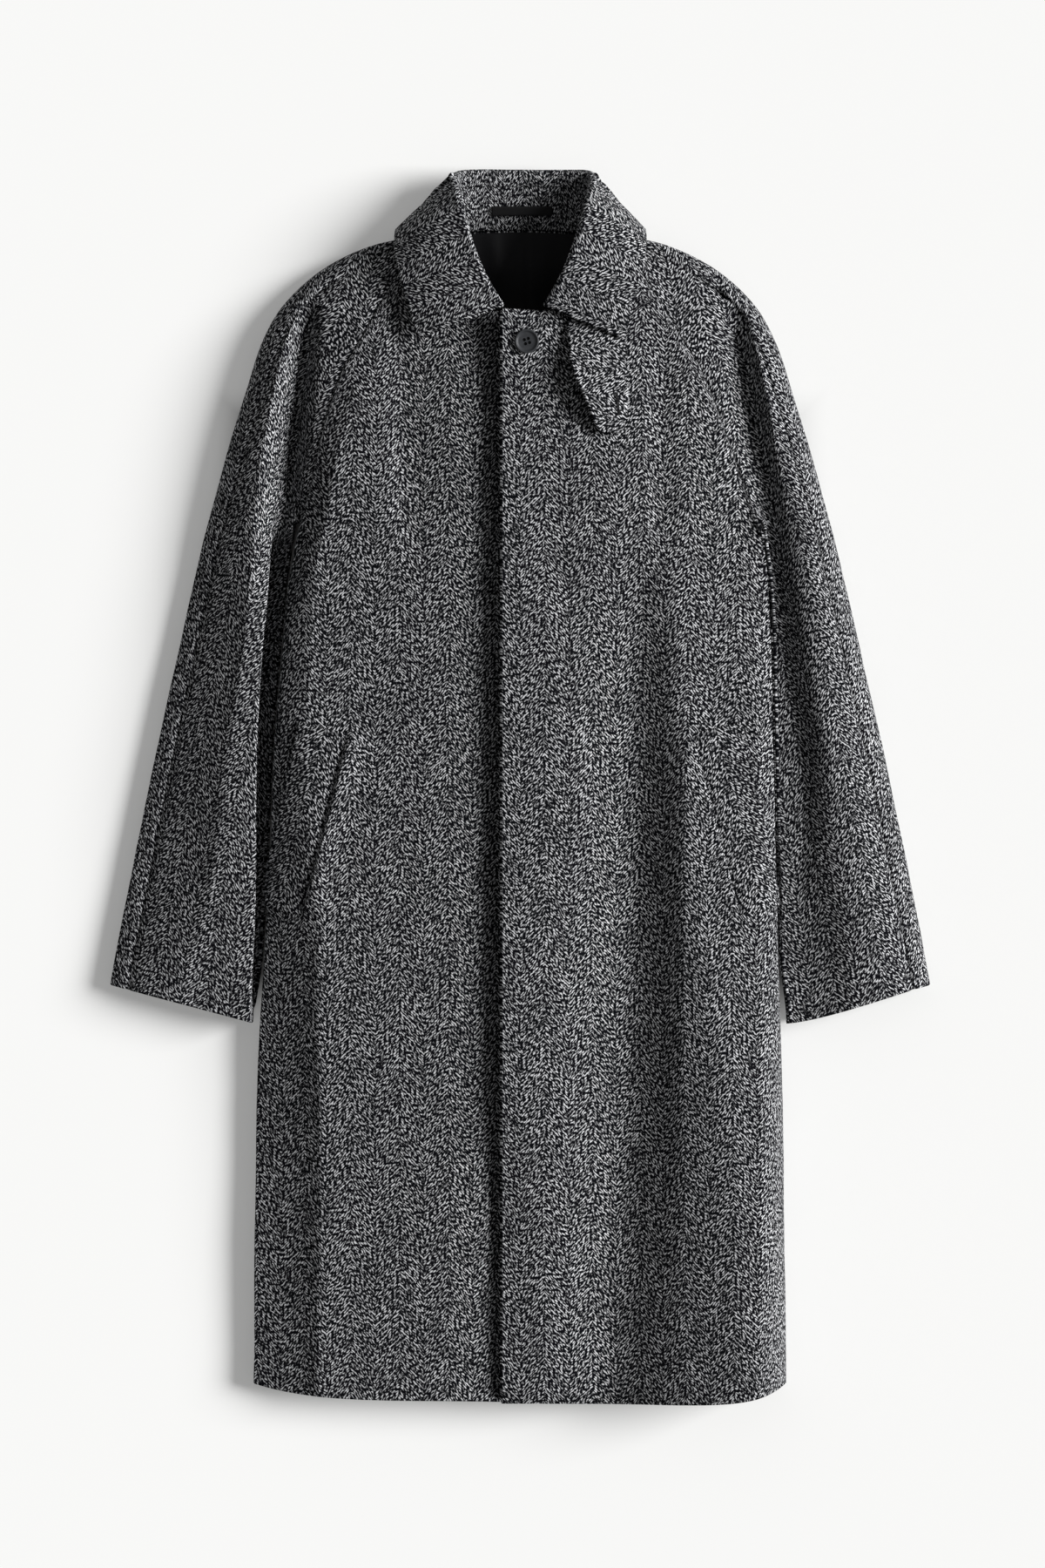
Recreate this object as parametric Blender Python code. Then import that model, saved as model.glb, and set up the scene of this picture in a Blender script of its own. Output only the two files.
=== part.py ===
"""Knee-length raglan car coat in herringbone wool, lying on its back on a flat surface.

Metres, +Z up. The collar points to +Y, the front faces +Z and the surface is Z = 0. Left and right
are the viewer's. Each cloth piece is a grid of points on the coat's outer skin, to which its cloth
gives a thickness on the inside.
"""

import math
from collections import namedtuple

import bpy
import numpy as np

for old in list(bpy.data.objects):
    bpy.data.objects.remove(old, do_unlink=True)

# Sides, as the sign of X
LEFT = -1
RIGHT = 1

# Cloth thicknesses, and the gaps at seams and between layers
CLOTH = 0.0024
FLY_CLOTH = 0.0042
COLLAR_CLOTH = 0.0030
TAB_CLOTH = 0.0026
WELT_CLOTH = 0.0022
LINING_CLOTH = 0.0010
TAPE_CLOTH = 0.0012
SEAM_GAP = 0.0003
SEAM_MITRE = 0.0010
FOLD_MITRE = 0.0022
PINCH = 0.3
PINCH_REACH = 0.045
LAYER_GAP = 0.0005
LINING_GAP = 0.0012

# Body: outward distance of each side edge, height of the rolled edge's outermost line and of the
# front. Above the underarm the edge columns hold the fold between the body and the sleeve.
BodyRow = namedtuple("BodyRow", "y left_edge right_edge rim height")
BODY_ROWS = (
    BodyRow(-0.566, 0.2452, 0.2444, 0.014, 0.036),
    BodyRow(-0.400, 0.2440, 0.2430, 0.014, 0.040),
    BodyRow(-0.280, 0.2422, 0.2412, 0.014, 0.043),
    BodyRow(-0.162, 0.2356, 0.2372, 0.014, 0.045),
    BodyRow(-0.058, 0.2300, 0.2345, 0.014, 0.047),
    BodyRow(0.040, 0.2255, 0.2320, 0.014, 0.048),
    BodyRow(0.133, 0.2180, 0.2300, 0.014, 0.049),
    BodyRow(0.190, 0.2124, 0.2270, 0.014, 0.049),
    BodyRow(0.242, 0.2044, 0.2210, 0.015, 0.048),
    BodyRow(0.312, 0.2060, 0.2185, 0.023, 0.047),
    BodyRow(0.381, 0.1980, 0.2060, 0.032, 0.044),
    BodyRow(0.445, 0.1880, 0.1900, 0.039, 0.041),
    BodyRow(0.515, 0.1700, 0.1720, 0.039, 0.040),
)
UNDERARM_Y = 0.242
SIDE_REACH = {LEFT: 0.072, RIGHT: 0.052}
SIDE_CREST = {LEFT: 1.3, RIGHT: 1.8}
SIDE_BULGE = {LEFT: 1.4, RIGHT: 1.7}
UNDER_ROLL = 0.020
UNDER_REACH = 0.050
SOFTENING = 0.10

# Deep flute that runs down the right front: where it starts to rise, its crest and its height
FluteRow = namedtuple("FluteRow", "y start crest rise")
FLUTE_ROWS = (
    FluteRow(-0.566, 0.095, 0.196, 0.024),
    FluteRow(-0.280, 0.085, 0.184, 0.024),
    FluteRow(0.000, 0.106, 0.158, 0.012),
    FluteRow(0.160, 0.108, 0.156, 0.006),
    FluteRow(0.260, 0.105, 0.150, 0.000),
)

# Sleeve, from the neck to the cuff: the inner line (raglan seam, then inner edge), the outer edge
# and the height. Mirrored on the right, where the underarm lies further out.
SleeveRow = namedtuple("SleeveRow", "in_x in_y out_x out_y height")
SLEEVE_ROWS = (
    SleeveRow(0.0815, 0.4930, 0.0760, 0.5080, 0.036),
    SleeveRow(0.1060, 0.4790, 0.1300, 0.4995, 0.040),
    SleeveRow(0.1310, 0.4400, 0.1780, 0.4775, 0.043),
    SleeveRow(0.1490, 0.4080, 0.2140, 0.4460, 0.045),
    SleeveRow(0.1640, 0.3830, 0.2360, 0.4090, 0.046),
    SleeveRow(0.1765, 0.3470, 0.2520, 0.3610, 0.046),
    SleeveRow(0.1860, 0.3100, 0.2655, 0.3160, 0.045),
    SleeveRow(0.1940, 0.2730, 0.2780, 0.2720, 0.044),
    SleeveRow(0.2044, 0.2420, 0.2900, 0.2280, 0.043),
    SleeveRow(0.2260, 0.1920, 0.3012, 0.1800, 0.042),
    SleeveRow(0.2325, 0.1300, 0.3150, 0.1180, 0.040),
    SleeveRow(0.2347, 0.0350, 0.3350, 0.0300, 0.038),
    SleeveRow(0.2378, -0.0700, 0.3555, -0.0700, 0.036),
    SleeveRow(0.2395, -0.1500, 0.3685, -0.1350, 0.033),
    SleeveRow(0.2436, -0.2165, 0.3770, -0.1815, 0.028),
)
UNDERARM_STATION = 8
CUFF_STATION = len(SLEEVE_ROWS) - 1
UNDERARM_SPREAD = {LEFT: 0.0, RIGHT: 0.0166}
SPREAD_TOP_Y = 0.470
SLEEVE_LEAN = -0.0012
ARM_GAP = 0.0012
ARM_RIM = 0.014
ARM_REACH = 0.050
ARM_CREST = 1.6
ARM_BULGE = 1.7
ARM_INNER_REACH = 0.022
INNER_CREST = 1.5
INNER_BULGE = 1.6
VALLEY_REACH = 0.045
UNDERARM_FADE = 0.054
ARM_UNDER_ROLL = 0.016
OVERARM_INSET = 0.016
OVERARM_SHARE = 0.35
SEAM_TURN = 0.1
SEAM_UNDER = 1.3
SEAM_CLIMB = (1.5, 2.0, 4.0)

# Trough that runs down the right sleeve beside the body
TroughRow = namedtuple("TroughRow", "y x half_width depth")
TROUGH_ROWS = (
    TroughRow(-0.130, 0.262, 0.020, 0.000),
    TroughRow(-0.020, 0.270, 0.020, 0.012),
    TroughRow(0.098, 0.256, 0.018, 0.016),
    TroughRow(0.178, 0.243, 0.016, 0.014),
    TroughRow(0.240, 0.232, 0.014, 0.000),
)

# Front opening: the right front lies over the left along the fly
FLY_EDGE_X = -0.0170
UNDERLAP_X = 0.0450
FLY_LIFT = 0.0050
FLY_END_X = 0.052
FLY_FADE = 0.055
TOP_LIFT = 0.0050
TOP_LIFT_Y = 0.340
TOP_LIFT_REACH = 0.090

# Hem: lowest line at the centre and how far it rises to the sides
HEM_Y = {LEFT: -0.5630, RIGHT: -0.5664}
BACK_HEM_Y = -0.5550
HEM_RISE = {LEFT: 0.0150, RIGHT: 0.0190}
HEM_HALF = 0.245
HEM_POWER = 5
SIDE_HEM_Y = -0.5475

# Neck: edge of each front, and the shift from the front to the back raglan seam at the neck
NECK_FRONT = ((0.0300, 0.4370), (0.0560, 0.4465), (0.0740, 0.4680), (0.0815, 0.4930))
NECK_FRONT_Y = 0.4385
NECK_BACK_Y = 0.5115
NECK_BACK_DROP = 0.0030
BACK_SEAM_SHIFT = (-0.0215, 0.0155)
BACK_SEAM_STATIONS = 3.0
BACK_SEAM_POWER = 1.5
NECK_LIFT = 0.0060
NECK_LIFT_Y = 0.440
NECK_LIFT_REACH = 0.045

# Collar, from the centre back to the front point: neck seam, fold line and outer edge
CollarRow = namedtuple("CollarRow", "neck_x neck_y neck_z fold_x fold_y fold_z edge_x edge_y edge_z")
COLLAR_ROWS = (
    CollarRow(0.0000, 0.5122, 0.0098, 0.0000, 0.5660, 0.023, 0.0000, 0.4900, 0.0006),
    CollarRow(0.0300, 0.5118, 0.0103, 0.0340, 0.5658, 0.025, 0.0500, 0.4885, 0.0006),
    CollarRow(0.0520, 0.5105, 0.0125, 0.0555, 0.5650, 0.031, 0.0900, 0.4880, 0.0006),
    CollarRow(0.0620, 0.5075, 0.0150, 0.0580, 0.5615, 0.036, 0.1120, 0.5030, 0.0020),
    CollarRow(0.0700, 0.5010, 0.0210, 0.0585, 0.5540, 0.041, 0.1185, 0.5120, 0.0150),
    CollarRow(0.0750, 0.4890, 0.0310, 0.0545, 0.5370, 0.049, 0.1175, 0.4990, 0.0400),
    CollarRow(0.0700, 0.4700, 0.0390, 0.0465, 0.5060, 0.055, 0.1120, 0.4750, 0.0490),
    CollarRow(0.0530, 0.4510, 0.0440, 0.0330, 0.4700, 0.057, 0.1030, 0.4430, 0.0520),
    CollarRow(0.0290, 0.4410, 0.0465, 0.0165, 0.4425, 0.056, 0.0940, 0.4115, 0.0520),
)
COLLAR_FRONT = len(COLLAR_ROWS) - 1
COLLAR_SHIFT = 0.003
COLLAR_LIFT = {LEFT: -0.001, RIGHT: 0.004}
COLLAR_ROLL = 0.0042
FALL_TURN_IN = 0.016
BACK_SAG = 0.011
LEAF_SAG = {LEFT: 0.003, RIGHT: 0.002}
FLOOR_GAP = 0.0006

# Throat tab, lying on the right front below the collar leaf
TabRow = namedtuple("TabRow", "y left right lift")
TAB_ROWS = (
    TabRow(0.3250, 0.0740, 0.0915, 0.003),
    TabRow(0.3336, 0.0692, 0.0956, 0.004),
    TabRow(0.3516, 0.0620, 0.0980, 0.006),
    TabRow(0.3696, 0.0540, 0.0984, 0.006),
    TabRow(0.3870, 0.0476, 0.0964, 0.005),
    TabRow(0.4080, 0.0456, 0.0952, 0.003),
    TabRow(0.4260, 0.0445, 0.0940, 0.000),
    TabRow(0.4380, 0.0500, 0.0900, 0.000),
)

# Pocket welts: both ends of the front seam of the welt, mirrored, and the welt's width
WELT_TOP = (0.1565, 0.0480)
WELT_BOTTOM = (0.1995, -0.1180)
WELT_WIDTH = 0.046
WELT_SLANT = 0.010
WELT_LIMIT = 1.6
WELT_STEPS = 80

# Lining and hanger loop inside the back neck
LINING_LINES = 6
LINING_COLUMNS = 4
LINING_MARGIN = 0.002
LOOP_X = (-0.026, 0.029)
LOOP_BAND = (0.34, 0.54)
LOOP_BOW = 0.0015
LOOP_SEAT = 0.0017

# Neck button: a turned disc with a raised rim and four holes
BUTTON_X = 0.0060
BUTTON_Y = 0.4080
BUTTON_RADIUS = 0.0112
BUTTON_HEIGHT = 0.0036
BUTTON_RIM = 0.0024
BUTTON_WELL = 0.0012
BUTTON_HOLE_RADIUS = 0.0011
BUTTON_HOLE_SPREAD = 0.0026
BUTTON_SIDES = 24

# Grid counts
FRONT_NECK_COLUMNS = 4
FRONT_ROLL_COLUMNS = 3
BODY_LINES = 16
LINE_CROWDING = 1.35
ARM_LINES = 8
ARM_CROWDING = 0.5
SLEEVE_FRONT_COLUMNS = 8
COLLAR_STEP = 0.5
COLUMN_CROWDING = 1.6

WOOL = ("wool", (0.085, 0.085, 0.088, 1.0), 0.92)
SATIN = ("black_lining", (0.010, 0.010, 0.012, 1.0), 0.45)
TAPE = ("black_tape", (0.012, 0.012, 0.013, 1.0), 0.70)
HORN = ("dark_button", (0.060, 0.060, 0.064, 1.0), 0.55)


def ease(t):
    """Smooth step from 0 to 1."""
    t = np.clip(t, 0.0, 1.0)
    return t * t * (3 - 2 * t)


def read(rows, column, key, at):
    """Value of a table's column on a smooth curve through its rows, which rise in the key."""
    keys = np.array([getattr(row, key) for row in rows])
    return through(keys, [getattr(row, column) for row in rows], at)


def through(keys, values, at):
    """Value at a key on a smooth curve through points given in rising order."""
    values = np.array(values)
    slopes = np.gradient(values, keys)
    at = np.asarray(at, dtype=float)
    i = np.clip(np.searchsorted(keys, at) - 1, 0, len(keys) - 2)
    span = keys[i + 1] - keys[i]
    t = np.clip((at - keys[i]) / span, 0.0, 1.0)
    start = (1 + 2 * t) * (1 - t) ** 2 * values[i] + t * (1 - t) ** 2 * span * slopes[i]
    end = t * t * (3 - 2 * t) * values[i + 1] - t * t * (1 - t) * span * slopes[i + 1]
    return start + end


def rounded(depth, reach, crest, bulge):
    """Rise from 0 on a rolled edge to 1 at its reach inside the edge."""
    t = np.clip(depth / reach, 0.0, 1.0)
    return (1 - (1 - t) ** crest) ** (1 / bulge)


def rolled_under(depth, roll):
    """Share of the rim's height left on the under side of a rolled edge."""
    t = np.clip(depth / roll, 0.0, 1.0)
    return 1 - np.sqrt(1 - (1 - t) ** 2)


def body_edge(y, side):
    """Outward distance of the body's side edge, or of the fold beside the sleeve above it."""
    return read(BODY_ROWS, "left_edge" if side == LEFT else "right_edge", "y", y)


def sleeve_station(station, side):
    """Inner point, outer point and height of the sleeve at a station, outward distances in x."""
    keys = np.arange(len(SLEEVE_ROWS))
    value = {c: through(keys, [getattr(r, c) for r in SLEEVE_ROWS], station) for c in SleeveRow._fields}
    spread_reach = SPREAD_TOP_Y - UNDERARM_Y
    spread = UNDERARM_SPREAD[side] * np.clip((SPREAD_TOP_Y - value["in_y"]) / spread_reach, 0, 1) ** 2
    below = value["in_y"] < UNDERARM_Y
    beside_body = np.maximum(value["in_x"], body_edge(value["in_y"], side) + ARM_GAP)
    in_x = np.where(below, beside_body, value["in_x"] + spread)
    lean = ease(station / 3) * (1 - ease((station - UNDERARM_STATION) / 5))
    out_x = value["out_x"] + side * SLEEVE_LEAN * lean
    return np.array([in_x, value["in_y"]]), np.array([out_x, value["out_y"]]), value["height"]


OUTLINE_STATIONS = np.linspace(0, CUFF_STATION, 160)
OUTLINE = {side: np.array([sleeve_station(q, side)[1] for q in OUTLINE_STATIONS]) for side in (LEFT, RIGHT)}


def outline_distance(out, y, side):
    """Distance in plan from the outer edge of the shoulder and sleeve."""
    points = np.stack(np.broadcast_arrays(out, y), axis=-1)
    steps = points[..., None, :] - OUTLINE[side]
    return np.sqrt((steps ** 2).sum(axis=-1)).min(axis=-1)


def arm_edge(y, side):
    """Outward distance of the sleeve's inner edge, or of the fold beside the body above it."""
    stations = np.arange(UNDERARM_STATION, CUFF_STATION + 1)[::-1]
    points = [sleeve_station(q, side)[0] for q in stations]
    keys = np.array([p[1] for p in points])
    return np.where(y > UNDERARM_Y, body_edge(y, side), through(keys, [p[0] for p in points], y))


def shoulder_roll(out, y, side, height):
    """Height of the skin that rolls over the shoulder and the sleeve's outer edge."""
    rise = rounded(outline_distance(out, y, side), ARM_REACH, ARM_CREST, ARM_BULGE)
    return ARM_RIM + (height - ARM_RIM) * rise


def body_top(out, y, side):
    """Height of the fronts' outer skin over a plan point."""
    edge = body_edge(y, side)
    rim = read(BODY_ROWS, "rim", "y", y)
    height = read(BODY_ROWS, "height", "y", y)
    if side == RIGHT:
        start = read(FLUTE_ROWS, "start", "y", y)
        crest = read(FLUTE_ROWS, "crest", "y", y)
        height = height + read(FLUTE_ROWS, "rise", "y", y) * ease((out - start) / (crest - start))
    firm = ease((UNDERARM_Y - y) / SOFTENING)
    bulge = 1 + (SIDE_BULGE[side] - 1) * firm
    skin = rim + (height - rim) * rounded(edge - out, SIDE_REACH[side], SIDE_CREST[side], bulge)
    return np.minimum(skin, shoulder_roll(out, y, side, height))


def sleeve_top(out, y, side, height):
    """Height of the sleeve's outer skin over a plan point."""
    below = ease((UNDERARM_Y - y) / SOFTENING)
    rim = read(BODY_ROWS, "rim", "y", y)
    reach = VALLEY_REACH + (ARM_INNER_REACH - VALLEY_REACH) * below
    bulge = 1 + (INNER_BULGE - 1) * below
    depth = out - arm_edge(y, side)
    if side == RIGHT:
        away = (out - read(TROUGH_ROWS, "x", "y", y)) / read(TROUGH_ROWS, "half_width", "y", y)
        height = height - read(TROUGH_ROWS, "depth", "y", y) * np.exp(-away ** 2)
    skin = rim + (height - rim) * rounded(np.maximum(depth, 0), reach, INNER_CREST, bulge)
    skin = np.where(depth < 0, body_top(out, y, side), skin)
    return np.minimum(skin, shoulder_roll(out, y, side, height))


def under_skin(depth, y, roll, rim):
    """Height of the under side, which lifts at rolled edges, at the underarm and under the neck."""
    fade = 1 - ease((y - UNDERARM_Y) / UNDERARM_FADE)
    neck = NECK_LIFT * ease((y - NECK_LIFT_Y) / NECK_LIFT_REACH)
    return rim * rolled_under(np.abs(depth), roll) * fade + neck


def fly_lift(x, y):
    """How far the right front stands above the left one along the fly."""
    fade = 1 - ease((x - FLY_END_X) / FLY_FADE)
    top = ease((y - TOP_LIFT_Y) / TOP_LIFT_REACH) * (1 - ease((x - FLY_EDGE_X) / FLY_FADE))
    return FLY_LIFT * fade + TOP_LIFT * top


def front_skin(out, y, side):
    """Point on a front's outer skin over a plan point."""
    x = side * out
    z = body_top(out, y, side)
    if side == RIGHT:
        z = z + fly_lift(x, y)
    return np.stack(np.broadcast_arrays(x, y, z), axis=-1)


def ring_point(across, y, side, centre):
    """Point of a front: across runs 0 centre, 1 side edge, 2 touching the surface, 3 inward."""
    edge = body_edge(y, side)
    if across <= 1:
        out = centre + (edge - centre) * (1 - (1 - across) ** COLUMN_CROWDING)
        return front_skin(out, y, side)
    turn = min(across - 1, 1) * math.pi / 2
    depth = UNDER_ROLL * (1 - math.cos(turn)) + max(across - 2, 0) * UNDER_REACH
    rim = read(BODY_ROWS, "rim", "y", y)
    return np.array([side * (edge - depth), y, rim * (1 - math.sin(turn))])


def across_of(out, y, side, centre):
    """The across value of a plan point on a front."""
    share = (out - centre) / (body_edge(y, side) - centre)
    return 1 - (1 - min(share, 1.0)) ** (1 / COLUMN_CROWDING)


def trace(points, count):
    """Evenly numbered points on a smooth curve through a few points."""
    points = np.array(points)
    keys = np.arange(len(points))
    at = np.linspace(0, len(points) - 1, count)
    return np.stack([through(keys, points[:, c], at) for c in range(points.shape[1])], axis=-1)


def raglan_seam(station, side, back=False):
    """Plan point of the front or the back raglan seam at a station from neck to underarm."""
    point = sleeve_station(station, side)[0]
    if back:
        near_neck = max(1 - station / BACK_SEAM_STATIONS, 0) ** BACK_SEAM_POWER
        point = point + np.array(BACK_SEAM_SHIFT) * near_neck
    return point


def hem_y(out, side):
    """Hem line of a front, which rises towards the side."""
    return HEM_Y[side] + HEM_RISE[side] * abs(out / HEM_HALF) ** HEM_POWER


def underarm_point(side):
    """The point where the side, underarm and raglan seams meet."""
    return ring_point(1 + SEAM_TURN, UNDERARM_Y, side, 0.0)


def material(name, colour, roughness):
    """A plain material, shared by the pieces that are cut from it."""
    made = bpy.data.materials.get(name) or bpy.data.materials.new(name)
    made.use_nodes = True
    shader = made.node_tree.nodes["Principled BSDF"]
    shader.inputs["Base Color"].default_value = colour
    shader.inputs["Roughness"].default_value = roughness
    return made


def add_mesh(name, points, faces, finish):
    """One closed solid with its faces pointing out."""
    mesh = bpy.data.meshes.new(name)
    mesh.from_pydata([tuple(p) for p in points], [], faces)
    piece = bpy.data.objects.new(name, mesh)
    bpy.context.collection.objects.link(piece)
    mesh.materials.append(material(*finish))
    triangles = [(f[0], f[i], f[i + 1]) for f in faces for i in range(1, len(f) - 1)]
    corners = np.array(points)[np.array(triangles)]
    volume = np.einsum("ij,ij->i", corners[:, 0], np.cross(corners[:, 1], corners[:, 2])).sum()
    if volume < 0:
        mesh.flip_normals()
    mesh.shade_smooth()
    mesh.set_sharp_from_angle(angle=math.radians(50))
    return piece


def skin_normals(skin, facing):
    """Unit normals of a grid of skin points, turned to the outer side."""
    normals = np.cross(np.gradient(skin, axis=0), np.gradient(skin, axis=1)) * facing
    return normals / np.linalg.norm(normals, axis=-1, keepdims=True)


def cloth_wall(name, skin, thickness, finish, facing, seams=(), folded=()):
    """A grid of outer points made into a closed wall of cloth, drawn back at its sewn borders."""
    rows, columns = skin.shape[:2]
    skin = draw_back(skin.copy(), SEAM_GAP / 2, seams)
    inside = skin - skin_normals(skin, facing) * np.broadcast_to(thickness, (rows, columns))[..., None]
    for border in seams:
        inside = draw_back(inside, FOLD_MITRE if border in folded else SEAM_MITRE, (border,))
    points = np.concatenate([skin.reshape(-1, 3), inside.reshape(-1, 3)])
    layer = rows * columns

    def at(i, j, under=False):
        return i * columns + j + (layer if under else 0)

    faces = []
    for i in range(rows - 1):
        for j in range(columns - 1):
            faces.append((at(i, j), at(i, j + 1), at(i + 1, j + 1), at(i + 1, j)))
            faces.append((at(i + 1, j, True), at(i + 1, j + 1, True), at(i, j + 1, True), at(i, j, True)))
    rim = [(0, j) for j in range(columns)] + [(i, columns - 1) for i in range(1, rows)]
    rim += [(rows - 1, j) for j in range(columns - 2, -1, -1)] + [(i, 0) for i in range(rows - 2, 0, -1)]
    for here, there in zip(rim, rim[1:] + rim[:1]):
        faces.append((at(*here, True), at(*there, True), at(*there), at(*here)))
    return add_mesh(name, points, faces, finish)


def draw_back(skin, amount, borders):
    """Move borders of a grid into the piece, at right angles to each border."""
    for border in borders:
        line = {"first_row": 0, "last_row": -1}.get(border)
        if line is None:
            grid, line = skin.swapaxes(0, 1), {"first_column": 0, "last_column": -1}[border]
        else:
            grid = skin
        step = grid[1 if line == 0 else -2] - grid[line]
        along = np.gradient(grid[line], axis=0)
        along = along / np.linalg.norm(along, axis=-1, keepdims=True)
        step = step - along * (step * along).sum(axis=-1, keepdims=True)
        grid[line] += step / np.linalg.norm(step, axis=-1, keepdims=True) * amount
    return skin


def pinched(grid, thickness):
    """Cloth thickness that lessens towards the underarm points, where four seams meet."""
    away = np.min([np.linalg.norm(grid - underarm_point(side), axis=-1) for side in (LEFT, RIGHT)], axis=0)
    return thickness * (PINCH + (1 - PINCH) * ease(away / PINCH_REACH))


def front_columns(side):
    """Plan points of a front's top edge, from the centre over the neck to the underarm."""
    centre = -UNDERLAP_X if side == LEFT else FLY_EDGE_X
    neck = trace(((centre, NECK_FRONT_Y),) + NECK_FRONT, FRONT_NECK_COLUMNS + 1)
    seam = [raglan_seam(q, side) for q in range(1, UNDERARM_STATION + 1)]
    return centre, np.concatenate([neck, seam])


def line_shares():
    """Shares of the way from hem to top edge at which the body's lines lie, closer at the top."""
    return 1 - (1 - np.linspace(0, 1, BODY_LINES)) ** LINE_CROWDING


def front_grid(side):
    """Grid of a front: lines from hem to top edge, columns from the centre to the side seam."""
    centre, top = front_columns(side)
    last = len(top) - 1
    edge_column = last - FRONT_ROLL_COLUMNS
    roll = np.linspace(0, SEAM_UNDER, FRONT_ROLL_COLUMNS + 1)[1:]
    hem_across = np.concatenate([np.linspace(0, 1, edge_column + 1), 1 + roll])
    top_across = [across_of(out, y, side, centre) for out, y in top[:-1]] + [1 + SEAM_TURN]
    grid = np.empty((BODY_LINES, last + 1, 3))
    for i, share in enumerate(line_shares()):
        for j in range(last + 1):
            climb = share ** SEAM_CLIMB[j - edge_column - 1] if j > edge_column else ease(share)
            across = hem_across[j] + (top_across[j] - hem_across[j]) * climb
            out_at_hem = abs(ring_point(min(hem_across[j], 1), SIDE_HEM_Y, side, centre)[0])
            start = hem_y(out_at_hem, side)
            grid[i, j] = ring_point(across, start + (top[j][1] - start) * share, side, centre)
    return grid


FRONT_GRIDS = {side: front_grid(side) for side in (LEFT, RIGHT)}


def make_front(side, name):
    """One front, from its centre edge round the side edge to the side seam."""
    grid = FRONT_GRIDS[side].copy()
    thickness = CLOTH
    if side == RIGHT:
        fade = 1 - ease((grid[..., 0] - FLY_END_X) / FLY_FADE)
        thickness = CLOTH + (FLY_CLOTH - CLOTH) * fade
    seams = ("last_row", "last_column")
    return cloth_wall(name, grid, pinched(grid, thickness), WOOL, -side, seams, ("last_column",))


def back_half(side):
    """Half of the back: lines from hem to top edge, columns from the side seam to the centre."""
    seam = FRONT_GRIDS[side][:, -1]
    top = [raglan_seam(q, side, back=True) for q in range(UNDERARM_STATION, -1, -1)]
    for share in (2 / 3, 1 / 3, 0):
        out = top[UNDERARM_STATION][0] * share
        top.append(np.array([out, NECK_BACK_Y - NECK_BACK_DROP * share ** 2]))
    columns = len(top)
    grid = np.empty((BODY_LINES, columns, 3))
    for i, share in enumerate(line_shares()):
        for j in range(columns):
            hem_out = side * seam[0, 0] * (1 - j / (columns - 1))
            out = hem_out + (top[j][0] - hem_out) * ease(share)
            start = seam[0, 1] + (BACK_HEM_Y - seam[0, 1]) * ease(j / 4)
            y = start + (top[j][1] - start) * share
            depth = body_edge(y, side) - out
            rim = read(BODY_ROWS, "rim", "y", y)
            grid[i, j] = (side * out, y, under_skin(depth, y, UNDER_ROLL, rim))
    grid[:, 0] = seam
    return grid


def make_back():
    """The back, which lies on the surface and turns up only at the underarms and the neck."""
    right = back_half(RIGHT)
    grid = np.concatenate([back_half(LEFT), right[:, -2::-1]], axis=1)
    sides = ("first_column", "last_column")
    cloth_wall("back", grid, pinched(grid, CLOTH), WOOL, 1, sides + ("last_row",), sides)
    return grid


def sleeve_lines():
    """Stations of the sleeve's lines, from the neck to the cuff."""
    arm = np.linspace(UNDERARM_STATION, CUFF_STATION, ARM_LINES + 1)[1:]
    return np.concatenate([np.arange(UNDERARM_STATION + 1), arm])


def overarm_inset(length):
    """How far the overarm seam lies inside the outer edge of the sleeve."""
    return min(OVERARM_INSET, OVERARM_SHARE * length)


def underarm_seam(point, side):
    """Point of the underarm seam on the sleeve's inner edge."""
    turn = SEAM_TURN * math.pi / 2
    out = point[0] + ARM_UNDER_ROLL * (1 - math.cos(turn))
    return np.array([side * out, point[1], ARM_RIM * (1 - math.sin(turn))])


def sleeve_front_grid(side):
    """Grid of a sleeve front: lines from neck to cuff, columns from overarm to inner seam."""
    lines = []
    for q in sleeve_lines():
        inner, outer, height = sleeve_station(q, side)
        along = inner - outer
        length = np.linalg.norm(along)
        crowding = 1 + ARM_CROWDING * float(ease((q - UNDERARM_STATION) / 2))
        line = []
        for share in np.linspace(0, 1, SLEEVE_FRONT_COLUMNS + 1):
            step = overarm_inset(length) / length
            plan = outer + along * (step + (1 - step) * (1 - (1 - share) ** crowding))
            line.append((side * plan[0], plan[1], float(sleeve_top(plan[0], plan[1], side, height))))
        if q == UNDERARM_STATION:
            line[-1] = tuple(underarm_point(side))
        elif q > UNDERARM_STATION:
            line[-1] = tuple(underarm_seam(inner, side))
        lines.append(line)
    return np.array(lines)


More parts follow.
